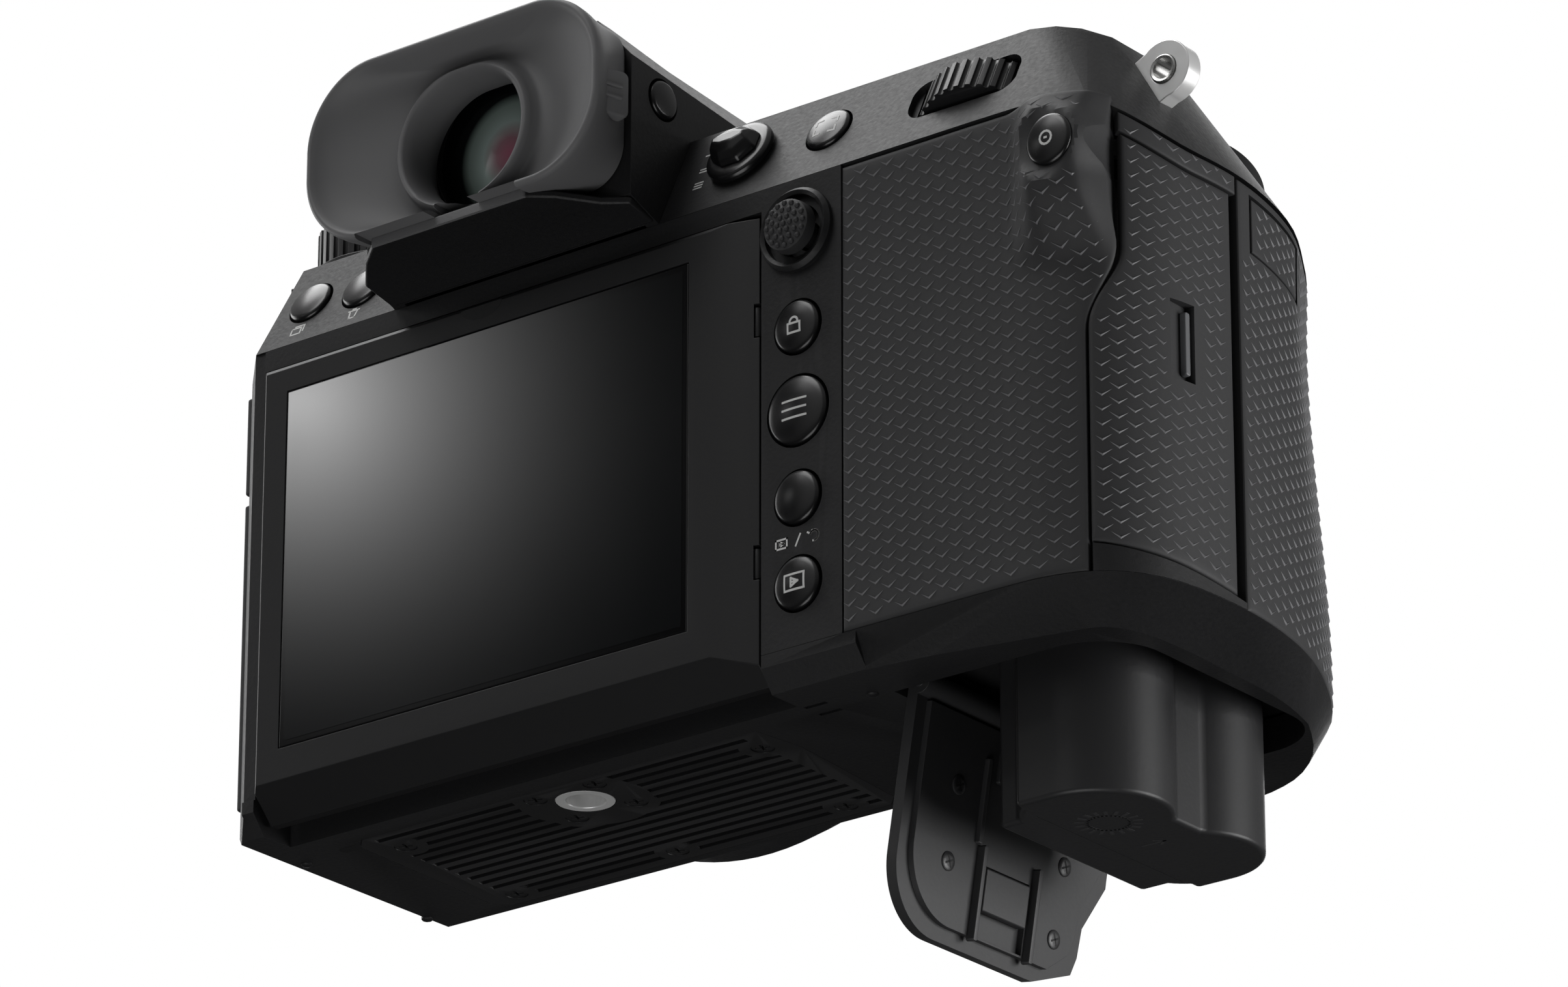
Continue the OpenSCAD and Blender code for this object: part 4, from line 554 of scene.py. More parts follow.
@dataclass(frozen=True)
class Grip:
    """The form of the grip's skins, written as in the part's source.

    Attributes:
        left: X where the rear skin starts.
        side: X of the grip's outer side.
        reach: Y of the grip's front.
        waist: How far the front draws in at the middle finger.
        waist_z: Height of that waist.
        drop: How far the upper edge falls towards the front.
        thumb_out: How far the thumb rest stands out.
        quick: X and Z of the quick button.
    """

    left: float = 55.1
    side: float = 98.4
    reach: float = 53.5
    waist: float = 2.6
    waist_z: float = 52.0
    drop: float = 4.9
    thumb_out: float = 5.5
    quick: tuple[float, float] = (89.8, 59.7)

    def outline(self, t: float, z: float) -> Vector:
        """Point at the station t of the grip's outline at the height z, as X and Y."""
        draw = self.waist * (step(8.5, self.waist_z, z) - 0.2 * step(self.waist_z, CREASE_Z, z))
        x0, x1, y0, y1 = self.left, self.side, REAR_Y, self.reach
        path = [(x0, y0), (x0 + 11, y0), (x0 + 22, y0), (x1 - 12.4, y0 + .5), (x1 - 5.4, y0 + 3.5),
                (x1 - 1.2, y0 + 10.5), (x1, y0 + 20.5), (x1 - .5, y1 - 40.5), (x1 - 2.9, y1 - 29.5),
                (x1 - 7.4, y1 - 19), (x1 - 13.9, y1 - 8.5), (x1 - 22.4, y1 - 1.5), (x1 - 31.4, y1),
                (x1 - 37.9, y1 - 4.5), (x0 + 2.9, y1 - 13.5), (x0 + 1.9, 28.0)]
        share = (0, 0, 0, 0, 0, 0, 0, .15, .35, .7, 1, 1, 1, .7, .3, 0)
        middle = Vector((x0 + 21, 20))
        pts = []
        for p, w in zip(path, share):
            inward = middle - Vector(p)
            pts.append(Vector(p) + inward / inward.length * w * draw)
        k = max(0, min(int(t), LAST_STATION - 1))
        u = t - k
        a, b, c, d = pts[max(k - 1, 0)], pts[k], pts[k + 1], pts[min(k + 2, LAST_STATION)]
        return 0.5 * (2 * b + (c - a) * u + (2 * a - 5 * b + 4 * c - d) * u * u + (3 * b - a - 3 * c + d) * u ** 3)

    def thumb(self, x: float, z: float) -> float:
        """How far the thumb rest stands out."""
        across = step(self.side - 18, self.side - 10.5, x) * (1 - step(self.side - 5.6, self.side - 3.5, x))
        return self.thumb_out * across * step(44, 55, z) * (1 - 0.5 * step(62, 68, z))

    def plain(self, t: float, z: float, deep: float = 0.0) -> Vector:
        """Point of the skin without the thumb rest, moved inward by deep."""
        along = self.outline(min(t + .02, LAST_STATION), z) - self.outline(max(t - .02, 0), z)
        out = Vector((along.y, -along.x)).normalized()
        at = self.outline(t, z) - out * deep
        return Vector((at.x, at.y, z))

    def skin(self, t: float, z: float, deep: float = 0.0) -> Vector:
        """Point of the skin with its thumb rest, moved inward by deep."""
        at = self.plain(t, z, deep)
        if t < 6:
            at.y -= self.thumb(at.x, z)
            flat = 1 - step(3.9, 5.4, math.hypot(at.x - self.quick[0], z - self.quick[1]))
            at.y += (self.quick_y() + deep - at.y) * flat
        return at

    def quick_y(self) -> float:
        """Where the flat seat of the quick button lies."""
        return self.outline(3.7, self.quick[1]).y - self.thumb(*self.quick)

    def top(self, t: float) -> float:
        """Upper edge of the skin at a station."""
        return CREASE_Z - self.drop * step(3.3, 5.6, t)

    def card_start(self, z: float) -> float:
        """Station of the card door's rear edge at a height."""
        return 3.7 + 0.58 * step(36, 48, z)

    def card_low(self, t: float) -> float:
        """Lower edge of the card door at a station."""
        return 8.5 - 1.05 * (t - 3.7)


@dataclass
class GripSkins:
    """The moulded skins of the grip with their field of raised chevrons.

    Attributes:
        grip: The form that they follow.
        pitch: Spacing of the chevrons along the outline.
        row: Spacing of the chevrons up the grip.
        arm: Length of a chevron's arm.
        height: Height of a chevron.
        roll: Radius of the skins' edges.
        low: Lower edge of the skins.
        tall: Height of the rear skin.
        door_end: Station of the card door's front edge.
        door_drop: How far the card door's upper edge lies below that of the skins.
        front: Stations of the front skin's ends.
        margin: Gap, in stations, beside the card door and from a skin's end to its chevrons.
        lengths: Length along the outline up to each fine step.
    """

    grip: Grip = field(default_factory=Grip)
    pitch: float = 2.05
    row: float = 1.95
    arm: float = 1.42
    height: float = 0.16
    roll: float = 0.7
    low: float = 4.55
    tall: float = 62.45
    door_end: float = 6.21
    door_drop: float = 3.2
    front: tuple[float, float] = (6.42, 14.9)
    margin: float = 0.04
    lengths: list[float] = field(default_factory=list)

    def build(self) -> None:
        """Measures the outline, and makes the skins in order round the grip."""
        fine = spread(0, LAST_STATION, FINE_STEPS)
        self.lengths = [0.0]
        for a, b in zip(fine, fine[1:]):
            self.lengths.append(self.lengths[-1] + (self.grip.outline(b, 35) - self.grip.outline(a, 35)).length)
        self.rear_skin()
        self.card_door()
        self.band()
        self.front_skin()
        self.flap()

    def rear_skin(self) -> None:
        """The rear skin with its thumb rest, bare round the quick button."""
        g = self.grip

        def place(u: float, v: float) -> tuple[float, float]:
            """Station and height of a point of the skin."""
            z = self.low + v * self.tall
            return u * (g.card_start(z) - self.margin), z
        rear = self.patch(place, 56, 66, 2.0)
        rear.piece("rear_rubber_skin", RUBBER, "camera_body", ["rear_rubber"], "rubber", SKIN_CRISP)
        self.stars("rear_rubber_stars", "camera_body",
                   lambda t, z: 0.02 < t < g.card_start(z) - 0.08 and 4.9 < z < 66.6
                   and math.hypot(g.outline(t, z).x - g.quick[0], z - g.quick[1]) > 4.1)

    def band(self) -> None:
        """The band of skin above the card door."""
        g = self.grip

        def place(u: float, v: float) -> tuple[float, float]:
            """Station and height of a point of the band."""
            t = 4.24 + u * 2.1
            return t, g.top(t) - 2.9 + v * 2.5
        band = self.patch(place, 30, 6, 1.6, thumb=False, roll=0.35)
        band.piece("rear_rubber_band", RUBBER, "camera_body", slot="rubber", crisp=SKIN_CRISP)
        self.stars("rear_rubber_band_stars", "camera_body",
                   lambda t, z: 4.3 < t < 6.3 and g.top(t) - 2.75 < z < g.top(t) - 0.5, thumb=False)

    def front_skin(self) -> None:
        """The front skin, cut out for the remote socket's flap and for the front dial."""
        g = self.grip
        start, end = self.front

        def place(u: float, v: float) -> tuple[float, float]:
            """Station and height of a point of the skin."""
            t = start + u * (end - start)
            return t, self.low + v * (g.top(t) - 0.4 - self.low)
        front = self.patch(place, 90, 46, 2.0)
        skin = front.piece("front_rubber_skin", RUBBER, "camera_body", ["front_rubber"], "rubber", SKIN_CRISP)
        carve(skin, Vector((80, 9.7, 52.9)), Vector((101, 27.0, 60.9)))
        carve(skin, Vector((72.4, 38.0, 54.0)), Vector((79.6, 56.0, 70.0)))
        self.stars("front_rubber_stars", "camera_body",
                   lambda t, z: start + self.margin < t < end - self.margin and 4.9 < z < g.top(t) - 0.8
                   and not (6.45 < t < 8.4 and 52.6 < z < 61.2)
                   and not (71.6 < g.outline(t, z).x < 80.4 and z > 53.2))

    def flap(self) -> None:
        """The flap over the remote socket."""
        flap = self.patch(lambda u, v: (6.74 + u * 1.5, 53.3 + v * 7.2), 16, 8, 1.3, roll=0.3)
        flap.piece("remote_flap", RUBBER, "remote_cover", ["remote_cover"], "rubber", SKIN_CRISP)
        self.stars("remote_flap_stars", "remote_cover", lambda t, z: 6.78 < t < 8.2 and 53.5 < z < 60.3)

    def card_door(self) -> None:
        """The card door with its latch pocket, and the latch's finger bar."""
        g = self.grip

        def place(u: float, v: float) -> tuple[float, float]:
            """Station and height of a point of the door."""
            z0 = g.card_low(4) + v * (g.top(4) - self.door_drop - g.card_low(4))
            t = g.card_start(z0) + u * (self.door_end - g.card_start(z0))
            return t, g.card_low(t) + v * (g.top(t) - self.door_drop - g.card_low(t))
        door = self.patch(place, 34, 66, 1.6, thumb=False)
        made = door.piece("card_door_skin", RUBBER, "card_door", ["card_door"], "rubber", SKIN_CRISP)
        self.stars("card_door_stars", "card_door",
                   lambda t, z: g.card_start(z) + 0.06 < t < self.door_end - self.margin
                   and g.card_low(t) + 0.4 < z < g.top(t) - self.door_drop - 0.4
                   and not (abs(g.outline(t, z).y + 4.65) < 2.5 and abs(z - 36.3) < 5.8), thumb=False)
        face = g.outline(5.3, 36).x
        carve(made, Vector((face - 1.1, -6.65, 31.1)), Vector((101, -2.65, 41.5)))
        # The finger bar is painted pale grey, a painted highlight.
        bar = Shape()
        seat = Seat(Vector((face - 0.95, -3.55, 36.3)), AHEAD, UP)
        bar.block(seat, (-0.5, 0.5), (-4.2, 4.2), (0, 0.85), 0.3, 0.25)
        bar.piece("card_latch_bar", GREY_PAINTED_HIGHLIGHT, "card_latch", ["card_latch"], "matte")

    def patch(self, place: Callable[[float, float], tuple[float, float]], nu: int, nv: int, thick: float,
              thumb: bool = True, roll: float = 0.0) -> Shape:
        """A closed skin over a field of the grip, with rolled edges.

        Args:
            place: Gives the station and the height for u and v from 0 to 1.
            nu: Steps along.
            nv: Steps up.
            thick: Thickness of the skin.
            thumb: Whether it takes in the thumb rest.
            roll: Radius of its edges, or the usual one.

        Returns:
            The gathered shape.
        """
        roll = roll or self.roll
        form = self.grip.skin if thumb else self.grip.plain
        made = Shape()
        near = (0.0, 0.08, 0.25, 0.55, 1.0)

        def lines(n: int, long: float) -> list[float]:
            """Values from 0 to 1, closer together at both ends."""
            edge = [roll * k / long for k in near]
            return edge + spread(edge[-1], 1 - edge[-1], n)[1:-1] + [1 - e for e in reversed(edge)]
        wide = (form(*place(1, .5)) - form(*place(0, .5))).length
        tall = (form(*place(.5, 1)) - form(*place(.5, 0))).length
        us, vs = lines(nu, wide), lines(nv, tall)

        def sink(k: float) -> float:
            """How far the surface falls away at the distance k from the edge."""
            return roll * 0.6 * (1 - math.sqrt(max(0.0, 1 - (1 - min(1.0, k / roll)) ** 2)))
        outer, inner = [], []
        for u in us:
            outer.append(made.put(form(*place(u, v), max(sink(min(u, 1 - u) * wide), sink(min(v, 1 - v) * tall)))
                                  for v in vs))
            inner.append(made.put(self.grip.plain(*place(u, v), thick) for v in vs))
        for grid, flip in ((outer, False), (inner, True)):
            for a, b in zip(grid, grid[1:]):
                for i in range(len(vs) - 1):
                    quad = (a[i], b[i], b[i + 1], a[i + 1])
                    made.faces.append(tuple(reversed(quad)) if flip else quad)
        rim = [(i, 0) for i in range(len(us))] + [(len(us) - 1, j) for j in range(1, len(vs))]
        rim += [(i, len(vs) - 1) for i in range(len(us) - 2, -1, -1)] + [(0, j) for j in range(len(vs) - 2, 0, -1)]
        for (i, j), (k, m) in zip(rim, rim[1:] + rim[:1]):
            made.faces.append((inner[i][j], inner[k][m], outer[k][m], outer[i][j]))
        return made

    def station(self, s: float) -> float:
        """Station at the length s along the outline."""
        low, high = 0, len(self.lengths) - 1
        while high - low > 1:
            mid = (low + high) // 2
            low, high = (mid, high) if self.lengths[mid] <= s else (low, mid)
        share = (s - self.lengths[low]) / (self.lengths[high] - self.lengths[low])
        return (low + share) * LAST_STATION / FINE_STEPS

    def stars(self, name: str, body: str, inside: Callable[[float, float], bool], thumb: bool = True) -> None:
        """Raises a field of chevrons on a skin.

        Args:
            name: Name of the field.
            body: The body that carries it.
            inside: Whether a station and height belong to the field.
            thumb: Whether the skin takes in the thumb rest.
        """
        form = self.grip.skin if thumb else self.grip.plain
        made = Shape()
        for col in range(int(self.lengths[-1] / self.pitch)):
            for line in range(34):
                s, z = (col + 0.5) * self.pitch, 4.0 + (line + 0.5 * (col % 2)) * self.row
                arms = []
                for turn, far, lift in ((30, self.arm, -0.04), (90, 0.05, 0.02), (150, self.arm, -0.04),
                                        (270, 0.24, 0.02)):
                    across, up = arc(1.0, [turn])[0]
                    tries = [(self.station(max(0.0, s + k * far * across)), z + k * far * up, lift)
                             for k in (1.0, 0.7, 0.4)]
                    arms += [at for at in tries if inside(at[0], at[1])][:1]
                if len(arms) < 4:
                    continue
                top = made.put([form(self.station(s), z, -self.height)])[0]
                ring = made.put(form(*arm) for arm in arms)
                made.faces += [(top, ring[k], ring[(k + 1) % 4]) for k in range(4)]
        # The chevrons take the paler finish: a painted highlight along each one.
        made.piece(name, RIDGE_PAINTED_HIGHLIGHT, body, slot="rubber", crisp=SKIN_CRISP)


@dataclass
class Eyecup:
    """The soft eyecup: a flared dish with a round inner lip, cut away below for the sensor tray.

    Attributes:
        middle: Height of the cup's middle.
        lip: Height of the inner lip's middle.
        lip_r: Radius of the inner lip.
        around: Points round one outline.
    """

    middle: float = 82.9
    lip: float = 81.2
    lip_r: float = 11.0
    around: int = 96

    def oval(self, y: float, wide: float, tall: float, corner: float, z: float) -> list[Vector]:
        """One rounded outline of the cup.

        Args:
            y: Its place along the optical axis.
            wide: Its width.
            tall: Its height.
            corner: Radius of its corners.
            z: Height of its middle.

        Returns:
            Its points.
        """
        found = []
        r = min(corner, wide / 2, tall / 2)
        for turn, sx, sz in ((0, 1, 1), (90, -1, 1), (180, -1, -1), (270, 1, -1)):
            turns = [turn + 90 * (k + 0.5) * 4 / self.around for k in range(self.around // 4)]
            found += [Vector((x, y, high)) for x, high in
                      arc(r, turns, AXIS_X + sx * (wide / 2 - r), z + sz * (tall / 2 - r))]
        return found

    def build(self) -> None:
        """Makes the cup, its finger tabs, the tray below the eyepiece and the eyepiece's glass."""
        m, lip, r = self.middle, self.lip, 2 * self.lip_r
        cup = Shape()
        rings = [(-23.4, 20.6, 18.4, 10, lip + .4), (-23.4, 42.4, 22.8, 5.5, m), (-25.2, 43.2, 23.4, 6.5, m),
                 (-28.0, 45.4, 24.4, 8.5, m), (-30.6, 47.8, 25.2, 10, m), (-32.2, 49.0, 25.4, 10.8, m),
                 (-32.8, 48.9, 25.2, 10.8, m), (-33.05, 48.2, 24.5, 10.6, m), (-32.9, 47.4, 23.7, 10.3, m),
                 (-32.3, 46.5, 23.0, 10.1, m), (-31.2, 44.0, 22.2, 10, m), (-30.0, 39.0, 21.8, 10, m - .2),
                 (-29.0, 33.0, 21.6, 10.2, m - .5), (-28.55, 28.0, 21.4, 10.6, m - .9),
                 (-28.5, r + 2.6, r - 1.0, 12, lip + .9), (-29.0, r + 1.2, r - 1.8, 12, lip + .6),
                 (-29.9, r + .4, r - 2.4, 12, lip + .4), (-30.5, r - .3, r - 2.8, 12, lip + .3),
                 (-30.7, r - 1.2, r - 3.2, 12, lip + .3), (-30.4, r - 2.2, r - 4.0, 12, lip + .3),
                 (-29.0, r - 3.0, r - 4.6, 12, lip + .4), (-26.0, r - 3.6, r - 5.0, 12, lip + .4),
                 (-23.4, 20.6, 18.4, 10, lip + .4)]
        cup.loft([self.oval(*ring) for ring in rings], False, False)
        # The cup, its tabs and the tray's lip take the silicone's pale colour, which is painted light.
        made = cup.piece("eyecup_dish", SILICONE_PAINTED_LIGHT, "eyecup", ["eyecup"], "soft", 60)
        carve(made, Vector((-12.2, -36, 60)), Vector((14.6, -20, 71.1)))
        carve(made, Vector((-0.8, -36, 60)), Vector((6.6, -27.5, 73.0)))
        tabs = Shape()
        for turn in (1, -1):
            seat = Seat(Vector((AXIS_X + turn * 23.0, -28.4, 81.6)), Vector((0.265, turn * 0.964, 0)), UP)
            tabs.block(seat, (-2.6, 2.6), (-3.2, 3.2), (-1.0, 0.6), 0.9, 0.4)
            for v in (-0.8, 0.8):
                tabs.block(seat, (-1.4, 1.4), (v - 0.28, v + 0.28), (0.5, 0.95), 0.26, 0.2)
        tabs.piece("eyecup_tabs", SILICONE_PAINTED_LIGHT, "eyecup", slot="soft")
        self.tray()
        self.eyepiece()

    def tray(self) -> None:
        """The finder's underside, drawn out behind into a tray with a soft lip whose pale tone is painted light, and
        the eye sensor's window.
        """
        plan = [(-11.6, -30.2), (14.1, -30.2), (17.5, -28.4), (22.0, -24.6), (25.5, -23.0), (25.5, -18.2),
                (-18.5, -18.2), (-18.5, -23.6), (-15.0, -27.6)]
        under = Shape()
        under.loft([[Vector((x, y, 67.3 + 0.205 * (REAR_Y - y) + rise)) for x, y in plan] for rise in (0.0, 1.0)])
        modify(under.piece("finder_underside", PAINT, "camera_body", slot="shell"), "edge", "BEVEL",
               width=0.25 * MM, segments=2, limit_method="ANGLE")
        lip = Shape()
        seat = Seat(Vector((1.25, -30.2, 69.95)), RIGHT, AHEAD)
        lip.block(seat, (-12.9, 12.9), (-0.3, 6.4), (-0.05, 1.25), 0.3, 0.3)
        lip.piece("tray_lip", SILICONE_PAINTED_LIGHT, "eyecup", slot="soft")
        window = Shape()
        window.block(Seat(Vector((2.9, -27.0, 71.0)), RIGHT, AHEAD), (-3.6, 3.6), (-2.7, 3.4), (0.0, 0.5), 0.4, 0.15)
        window.piece("eye_sensor_window", GLASS, "camera_body", slot="glass")

    def eyepiece(self) -> None:
        """Paints a reflection on the eyepiece's glass: rosy in the middle, then grey-green in the coating's tints,
        dark at the rim.
        """
        made = bpy.data.materials.new("eyepiece_glass_painted_reflection")
        tree = empty(made)
        place = add(tree, "ShaderNodeTexCoord").outputs["Object"]
        near = add(tree, "ShaderNodeMapping", {"Vector": place, "Location": (-0.0052, 0.0, -0.0812),
                   "Scale": (1.0, 0.0, 1.0)}).outputs[0]
        far = add(tree, "ShaderNodeVectorMath", {0: near}, operation="LENGTH").outputs["Value"]
        ring = add(tree, "ShaderNodeMapRange", {"Value": far, "From Max": 0.0105}).outputs[0]
        tone = add(tree, "ShaderNodeValToRGB", {"Fac": ring})
        ramp = tone.color_ramp
        # Painted reflection of a soft light, tinted the way the coating tints it.
        for at, code in ((0.0, "#8a5363"), (0.2, "#7d5c64"), (0.42, "#86938f"), (0.66, "#68746f"), (0.8, "#0d0f10")):
            spot = ramp.elements.new(at) if at else ramp.elements[0]
            spot.position, spot.color = at, linear(code)
        ramp.elements[len(ramp.elements) - 1].color = linear("#060708")
        surface = add(tree, "ShaderNodeBsdfPrincipled", {"Base Color": tone.outputs[0], "Roughness": 0.1,
                      "IOR": 1.16})
        add(tree, "ShaderNodeOutputMaterial", {"Surface": surface.outputs[0]})
        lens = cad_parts["eyepiece_lens"]
        for slot in lens.material_slots:
            slot.material = made
        modify(lens, "shade", "NODES", node_group=smoothing())


class Sign(Enum):
    """Plain symbols that are printed in place of words."""

    BARE = "nothing"
    BARS = "three bars, for a list"
    PLAY = "a triangle in a frame"
    LOCK = "a padlock"
    FRAME = "four corners of a focus frame"
    RING = "a ring with a dot"
    BACK = "an arrow that turns back"
    STACK = "stacked frames"
    BIN = "a waste bin"

    def paths(self) -> list[list[tuple[float, float]]]:
        """The lines of the symbol, about two millimetres wide."""
        return {
            Sign.BARE: [],
            Sign.BARS: [[(-1, y), (1, y)] for y in (-.65, 0, .65)],
            Sign.PLAY: [[(-1.15, -.8), (1.15, -.8), (1.15, .8), (-1.15, .8), (-1.15, -.8)],
                        [(-.35, -.42), (.45, 0), (-.35, .42), (-.35, -.42)], [(-.2, 0), (.2, 0)]],
            Sign.LOCK: [[(-.75, -.8), (.75, -.8), (.75, .2), (-.75, .2), (-.75, -.8)],
                        arc(.48, spread(0, 180, 14), 0, .35)],
            Sign.FRAME: [[(sx * 1.1, sy * .3), (sx * 1.1, sy * .8), (sx * .5, sy * .8)]
                         for sx in (-1, 1) for sy in (-1, 1)],
            Sign.RING: [arc(.95, spread(0, 360, 14)), [(-.12, 0), (.12, 0)]],
            Sign.BACK: [arc(.8, spread(-100, 150, 14)), [(-1.15, .7), (-.66, .38), (-.3, .85)]],
            Sign.STACK: [[(-1.1, -.8), (.6, -.8), (.6, .4), (-1.1, .4), (-1.1, -.8)],
                         [(-.6, .75), (1.05, .75), (1.05, -.4)]],
            Sign.BIN: [[(-.7, .5), (-.5, -.9), (.5, -.9), (.7, .5)], [(-1, .62), (1, .62)], [(-.3, .95), (.3, .95)]],
        }[self]


@dataclass
class Buttons:
    """The polished push buttons with their printed symbols.

    Attributes:
        out: How far a button stands out.
        ink: Width of a printed line.
    """

    out: float = 0.9
    ink: float = 0.28

    def build(self) -> None:
        """Makes every button of the rear, the shoulders, the deck and the finder."""
        for name, z, r, sign, size in (
                ("lock_button", 47.1, 3.5, Sign.LOCK, 1.25), ("menu_button", 35.8, 4.6, Sign.BARS, 1.8),
                ("back_button", 24.1, 3.5, Sign.BARE, 1.0), ("play_button", 12.7, 3.5, Sign.PLAY, 1.3)):
            self.button(name, on_rear(COLUMN_X, z), r, self.out, sign, size)
        self.button("quick_button", on_rear(*Grip.quick, Grip().quick_y()), 3.4, self.out, Sign.RING, 0.9)
        self.button("focus_button", on_shoulder(50.6, 74.6), 3.3, self.out, Sign.FRAME, 1.5)
        self.button("drive_button", on_shoulder(-36.2, 74.2), 3.3, self.out, Sign.BARE)
        self.button("delete_button", on_shoulder(-26.8, 73.7), 3.3, self.out, Sign.BARE)
        for name, y in (("light_button", 10), ("function_button", 1)):
            self.button(name, Seat(Vector((75, y, DECK_Z)), RIGHT, AHEAD), 2.4, 0.7, Sign.BARE)
        side = Seat(Vector((AXIS_X + 22.2, -16.8, 85)), AHEAD, UP)
        self.button("view_button", side, 2.6, 0.7, Sign.BARE)
        self.labels()

    def button(self, name: str, seat: Seat, r: float, out: float, sign: Sign, size: float = 1.0) -> None:
        """One crowned button with its symbol.

        Args:
            name: The node that it stands for, which is also its body.
            seat: The face that it stands in.
            r: Its radius.
            out: How far its middle stands out.
            sign: The symbol printed on it.
            size: Scale of the symbol.
        """
        crown = r * 0.13
        ball = (r * r + crown * crown) / (2 * crown)

        def rise(u: float, v: float) -> float:
            """Height of the crowned face."""
            return out - ball + math.sqrt(max(0.0, ball * ball - u * u - v * v))
        cap = Shape()
        rim = rise(r - .45, 0)
        profile = [(0.01, -3.0), (r, -3.0), (r, rim - .5), (r - .06, rim - .28), (r - .2, rim - .1), (r - .45, rim)]
        profile += [(r * k, rise(r * k, 0)) for k in (0.78, 0.64, 0.5, 0.36, 0.22, 0.1)] + [(0.01, out)]
        cap.lathe(seat, profile, 64)
        cap.piece(f"{name}_cap", BUTTON, name, [name], "gloss")
        if sign.paths():
            mark = Shape()
            for path in sign.paths():
                mark.line(seat, [(u * size, v * size) for u, v in path], self.ink, rise, 0.03)
            mark.piece(f"{name}_sign", INK, name, slot="bright")

    def labels(self) -> None:
        """Symbols printed on the covers beside their buttons."""
        mark = Shape()
        for sign, seat, size in (
                (Sign.PLAY, on_rear(45.6, 18.5), 0.75), (Sign.BACK, on_rear(50.7, 18.5), 0.85),
                (Sign.STACK, on_shoulder(-36.6, 69.7), 0.95), (Sign.BIN, on_shoulder(-26.8, 69.4), 0.9)):
            for path in sign.paths():
                mark.line(seat, [(u * size, v * size) for u, v in path], 0.24)
        mark.line(on_rear(COLUMN_X, 18.5), [(-.35, -.7), (.35, .7)], 0.24)
        for z, bars in ((77.4, 1), (74.6, 2), (71.8, 3)):
            for k in range(bars):
                mark.line(on_shoulder(30.3, z), [(-.6, .5 * k), (.6, .5 * k)], 0.24)
        mark.piece("cover_signs", INK, "camera_body", slot="bright")


@dataclass
class Controls:
    """Dials, the focus lever and the focus stick.

    Attributes:
        lever_r: Radius of the lever's foot.
        stick_r: Radius of the stick's cap.
        stick_out: How far the cap's middle stands out.
        dome: Radius of the cap's dome.
    """

    lever_r: float = 5.0
    stick_r: float = 3.5
    stick_out: float = 3.0
    dome: float = 14.0

    def build(self) -> None:
        """Dresses the dials and makes the lever and the stick."""
        dress(ANODISED, 0.14, "mode_dial", "movie_lever", "front_dial", "rear_dial", "diopter_dial", "power_switch")
        dress(BUTTON, 0.25, "mode_dial_lock", "shutter_button")
        dress(PRESSED, 0.1, "stick_gimbal")
        self.lever()
        self.stick()

    def lever(self) -> None:
        """The focus lever: a turned foot and a faceted knob, all polished."""
        seat = on_shoulder(36.7, 74.9)
        made = Shape()
        made.lathe(seat, [(0.01, 0.3), (self.lever_r, 0.3), (self.lever_r, 1.1), (self.lever_r - .25, 1.45),
                          (self.lever_r - .7, 1.6), (3.9, 1.65), (0.01, 1.7)], 64)
        corners = arc(1.04, spread(22.5, 337.5, 7))
        made.loft([[seat.at(a * u, b * v, h) for u, v in corners]
                   for a, b, h in ((3.7, 3.2, 1.6), (3.5, 3.0, 2.4), (3.1, 2.1, 3.3), (2.5, 0.9, 3.9))])
        made.lathe(seat, [(0.01, -2.2), (1.5, -2.2), (1.5, 0.4), (0.01, 0.4)], 32)
        knob = made.piece("focus_lever_knob", BUTTON, "focus_lever", ["focus_lever"], "gloss", 20)
        modify(knob, "edge", "BEVEL", width=0.22 * MM, segments=3, limit_method="ANGLE", angle_limit=math.radians(18))

    def stick(self) -> None:
        """The focus stick: a domed rubber cap with rings of dots."""
        seat = on_rear(COLUMN_X, 60.2)
        cap = Shape()
        r = self.stick_r

        def rise(rad: float) -> float:
            """Height of the domed cap."""
            return self.stick_out - self.dome + math.sqrt(self.dome ** 2 - rad * rad)
        cap.lathe(seat, [(0.01, 0.9), (r, 0.9), (r, 1.9), (r - .1, rise(r) - .1), (r - .35, rise(r - .35)),
                         (r * .6, rise(r * .6)), (r * .3, rise(r * .3)), (0.01, self.stick_out)], 64)
        cap.lathe(seat, [(0.01, -4.0), (1.4, -4.0), (1.4, 1.0), (0.01, 1.0)], 32)
        for ring, count in ((0.0, 1), (1.0, 6), (1.95, 11), (2.85, 16)):
            for u, v in circle(ring, count):
                spot = Seat(seat.at(u, v, rise(ring)), seat.right, seat.up)
                cap.lathe(spot, [(0.38, -0.1), (0.36, 0.12), (0.26, 0.24), (0.01, 0.3)], 12)
        cap.piece("focus_stick_cap", RUBBER, "focus_stick", ["focus_stick"], "rubber", 30)


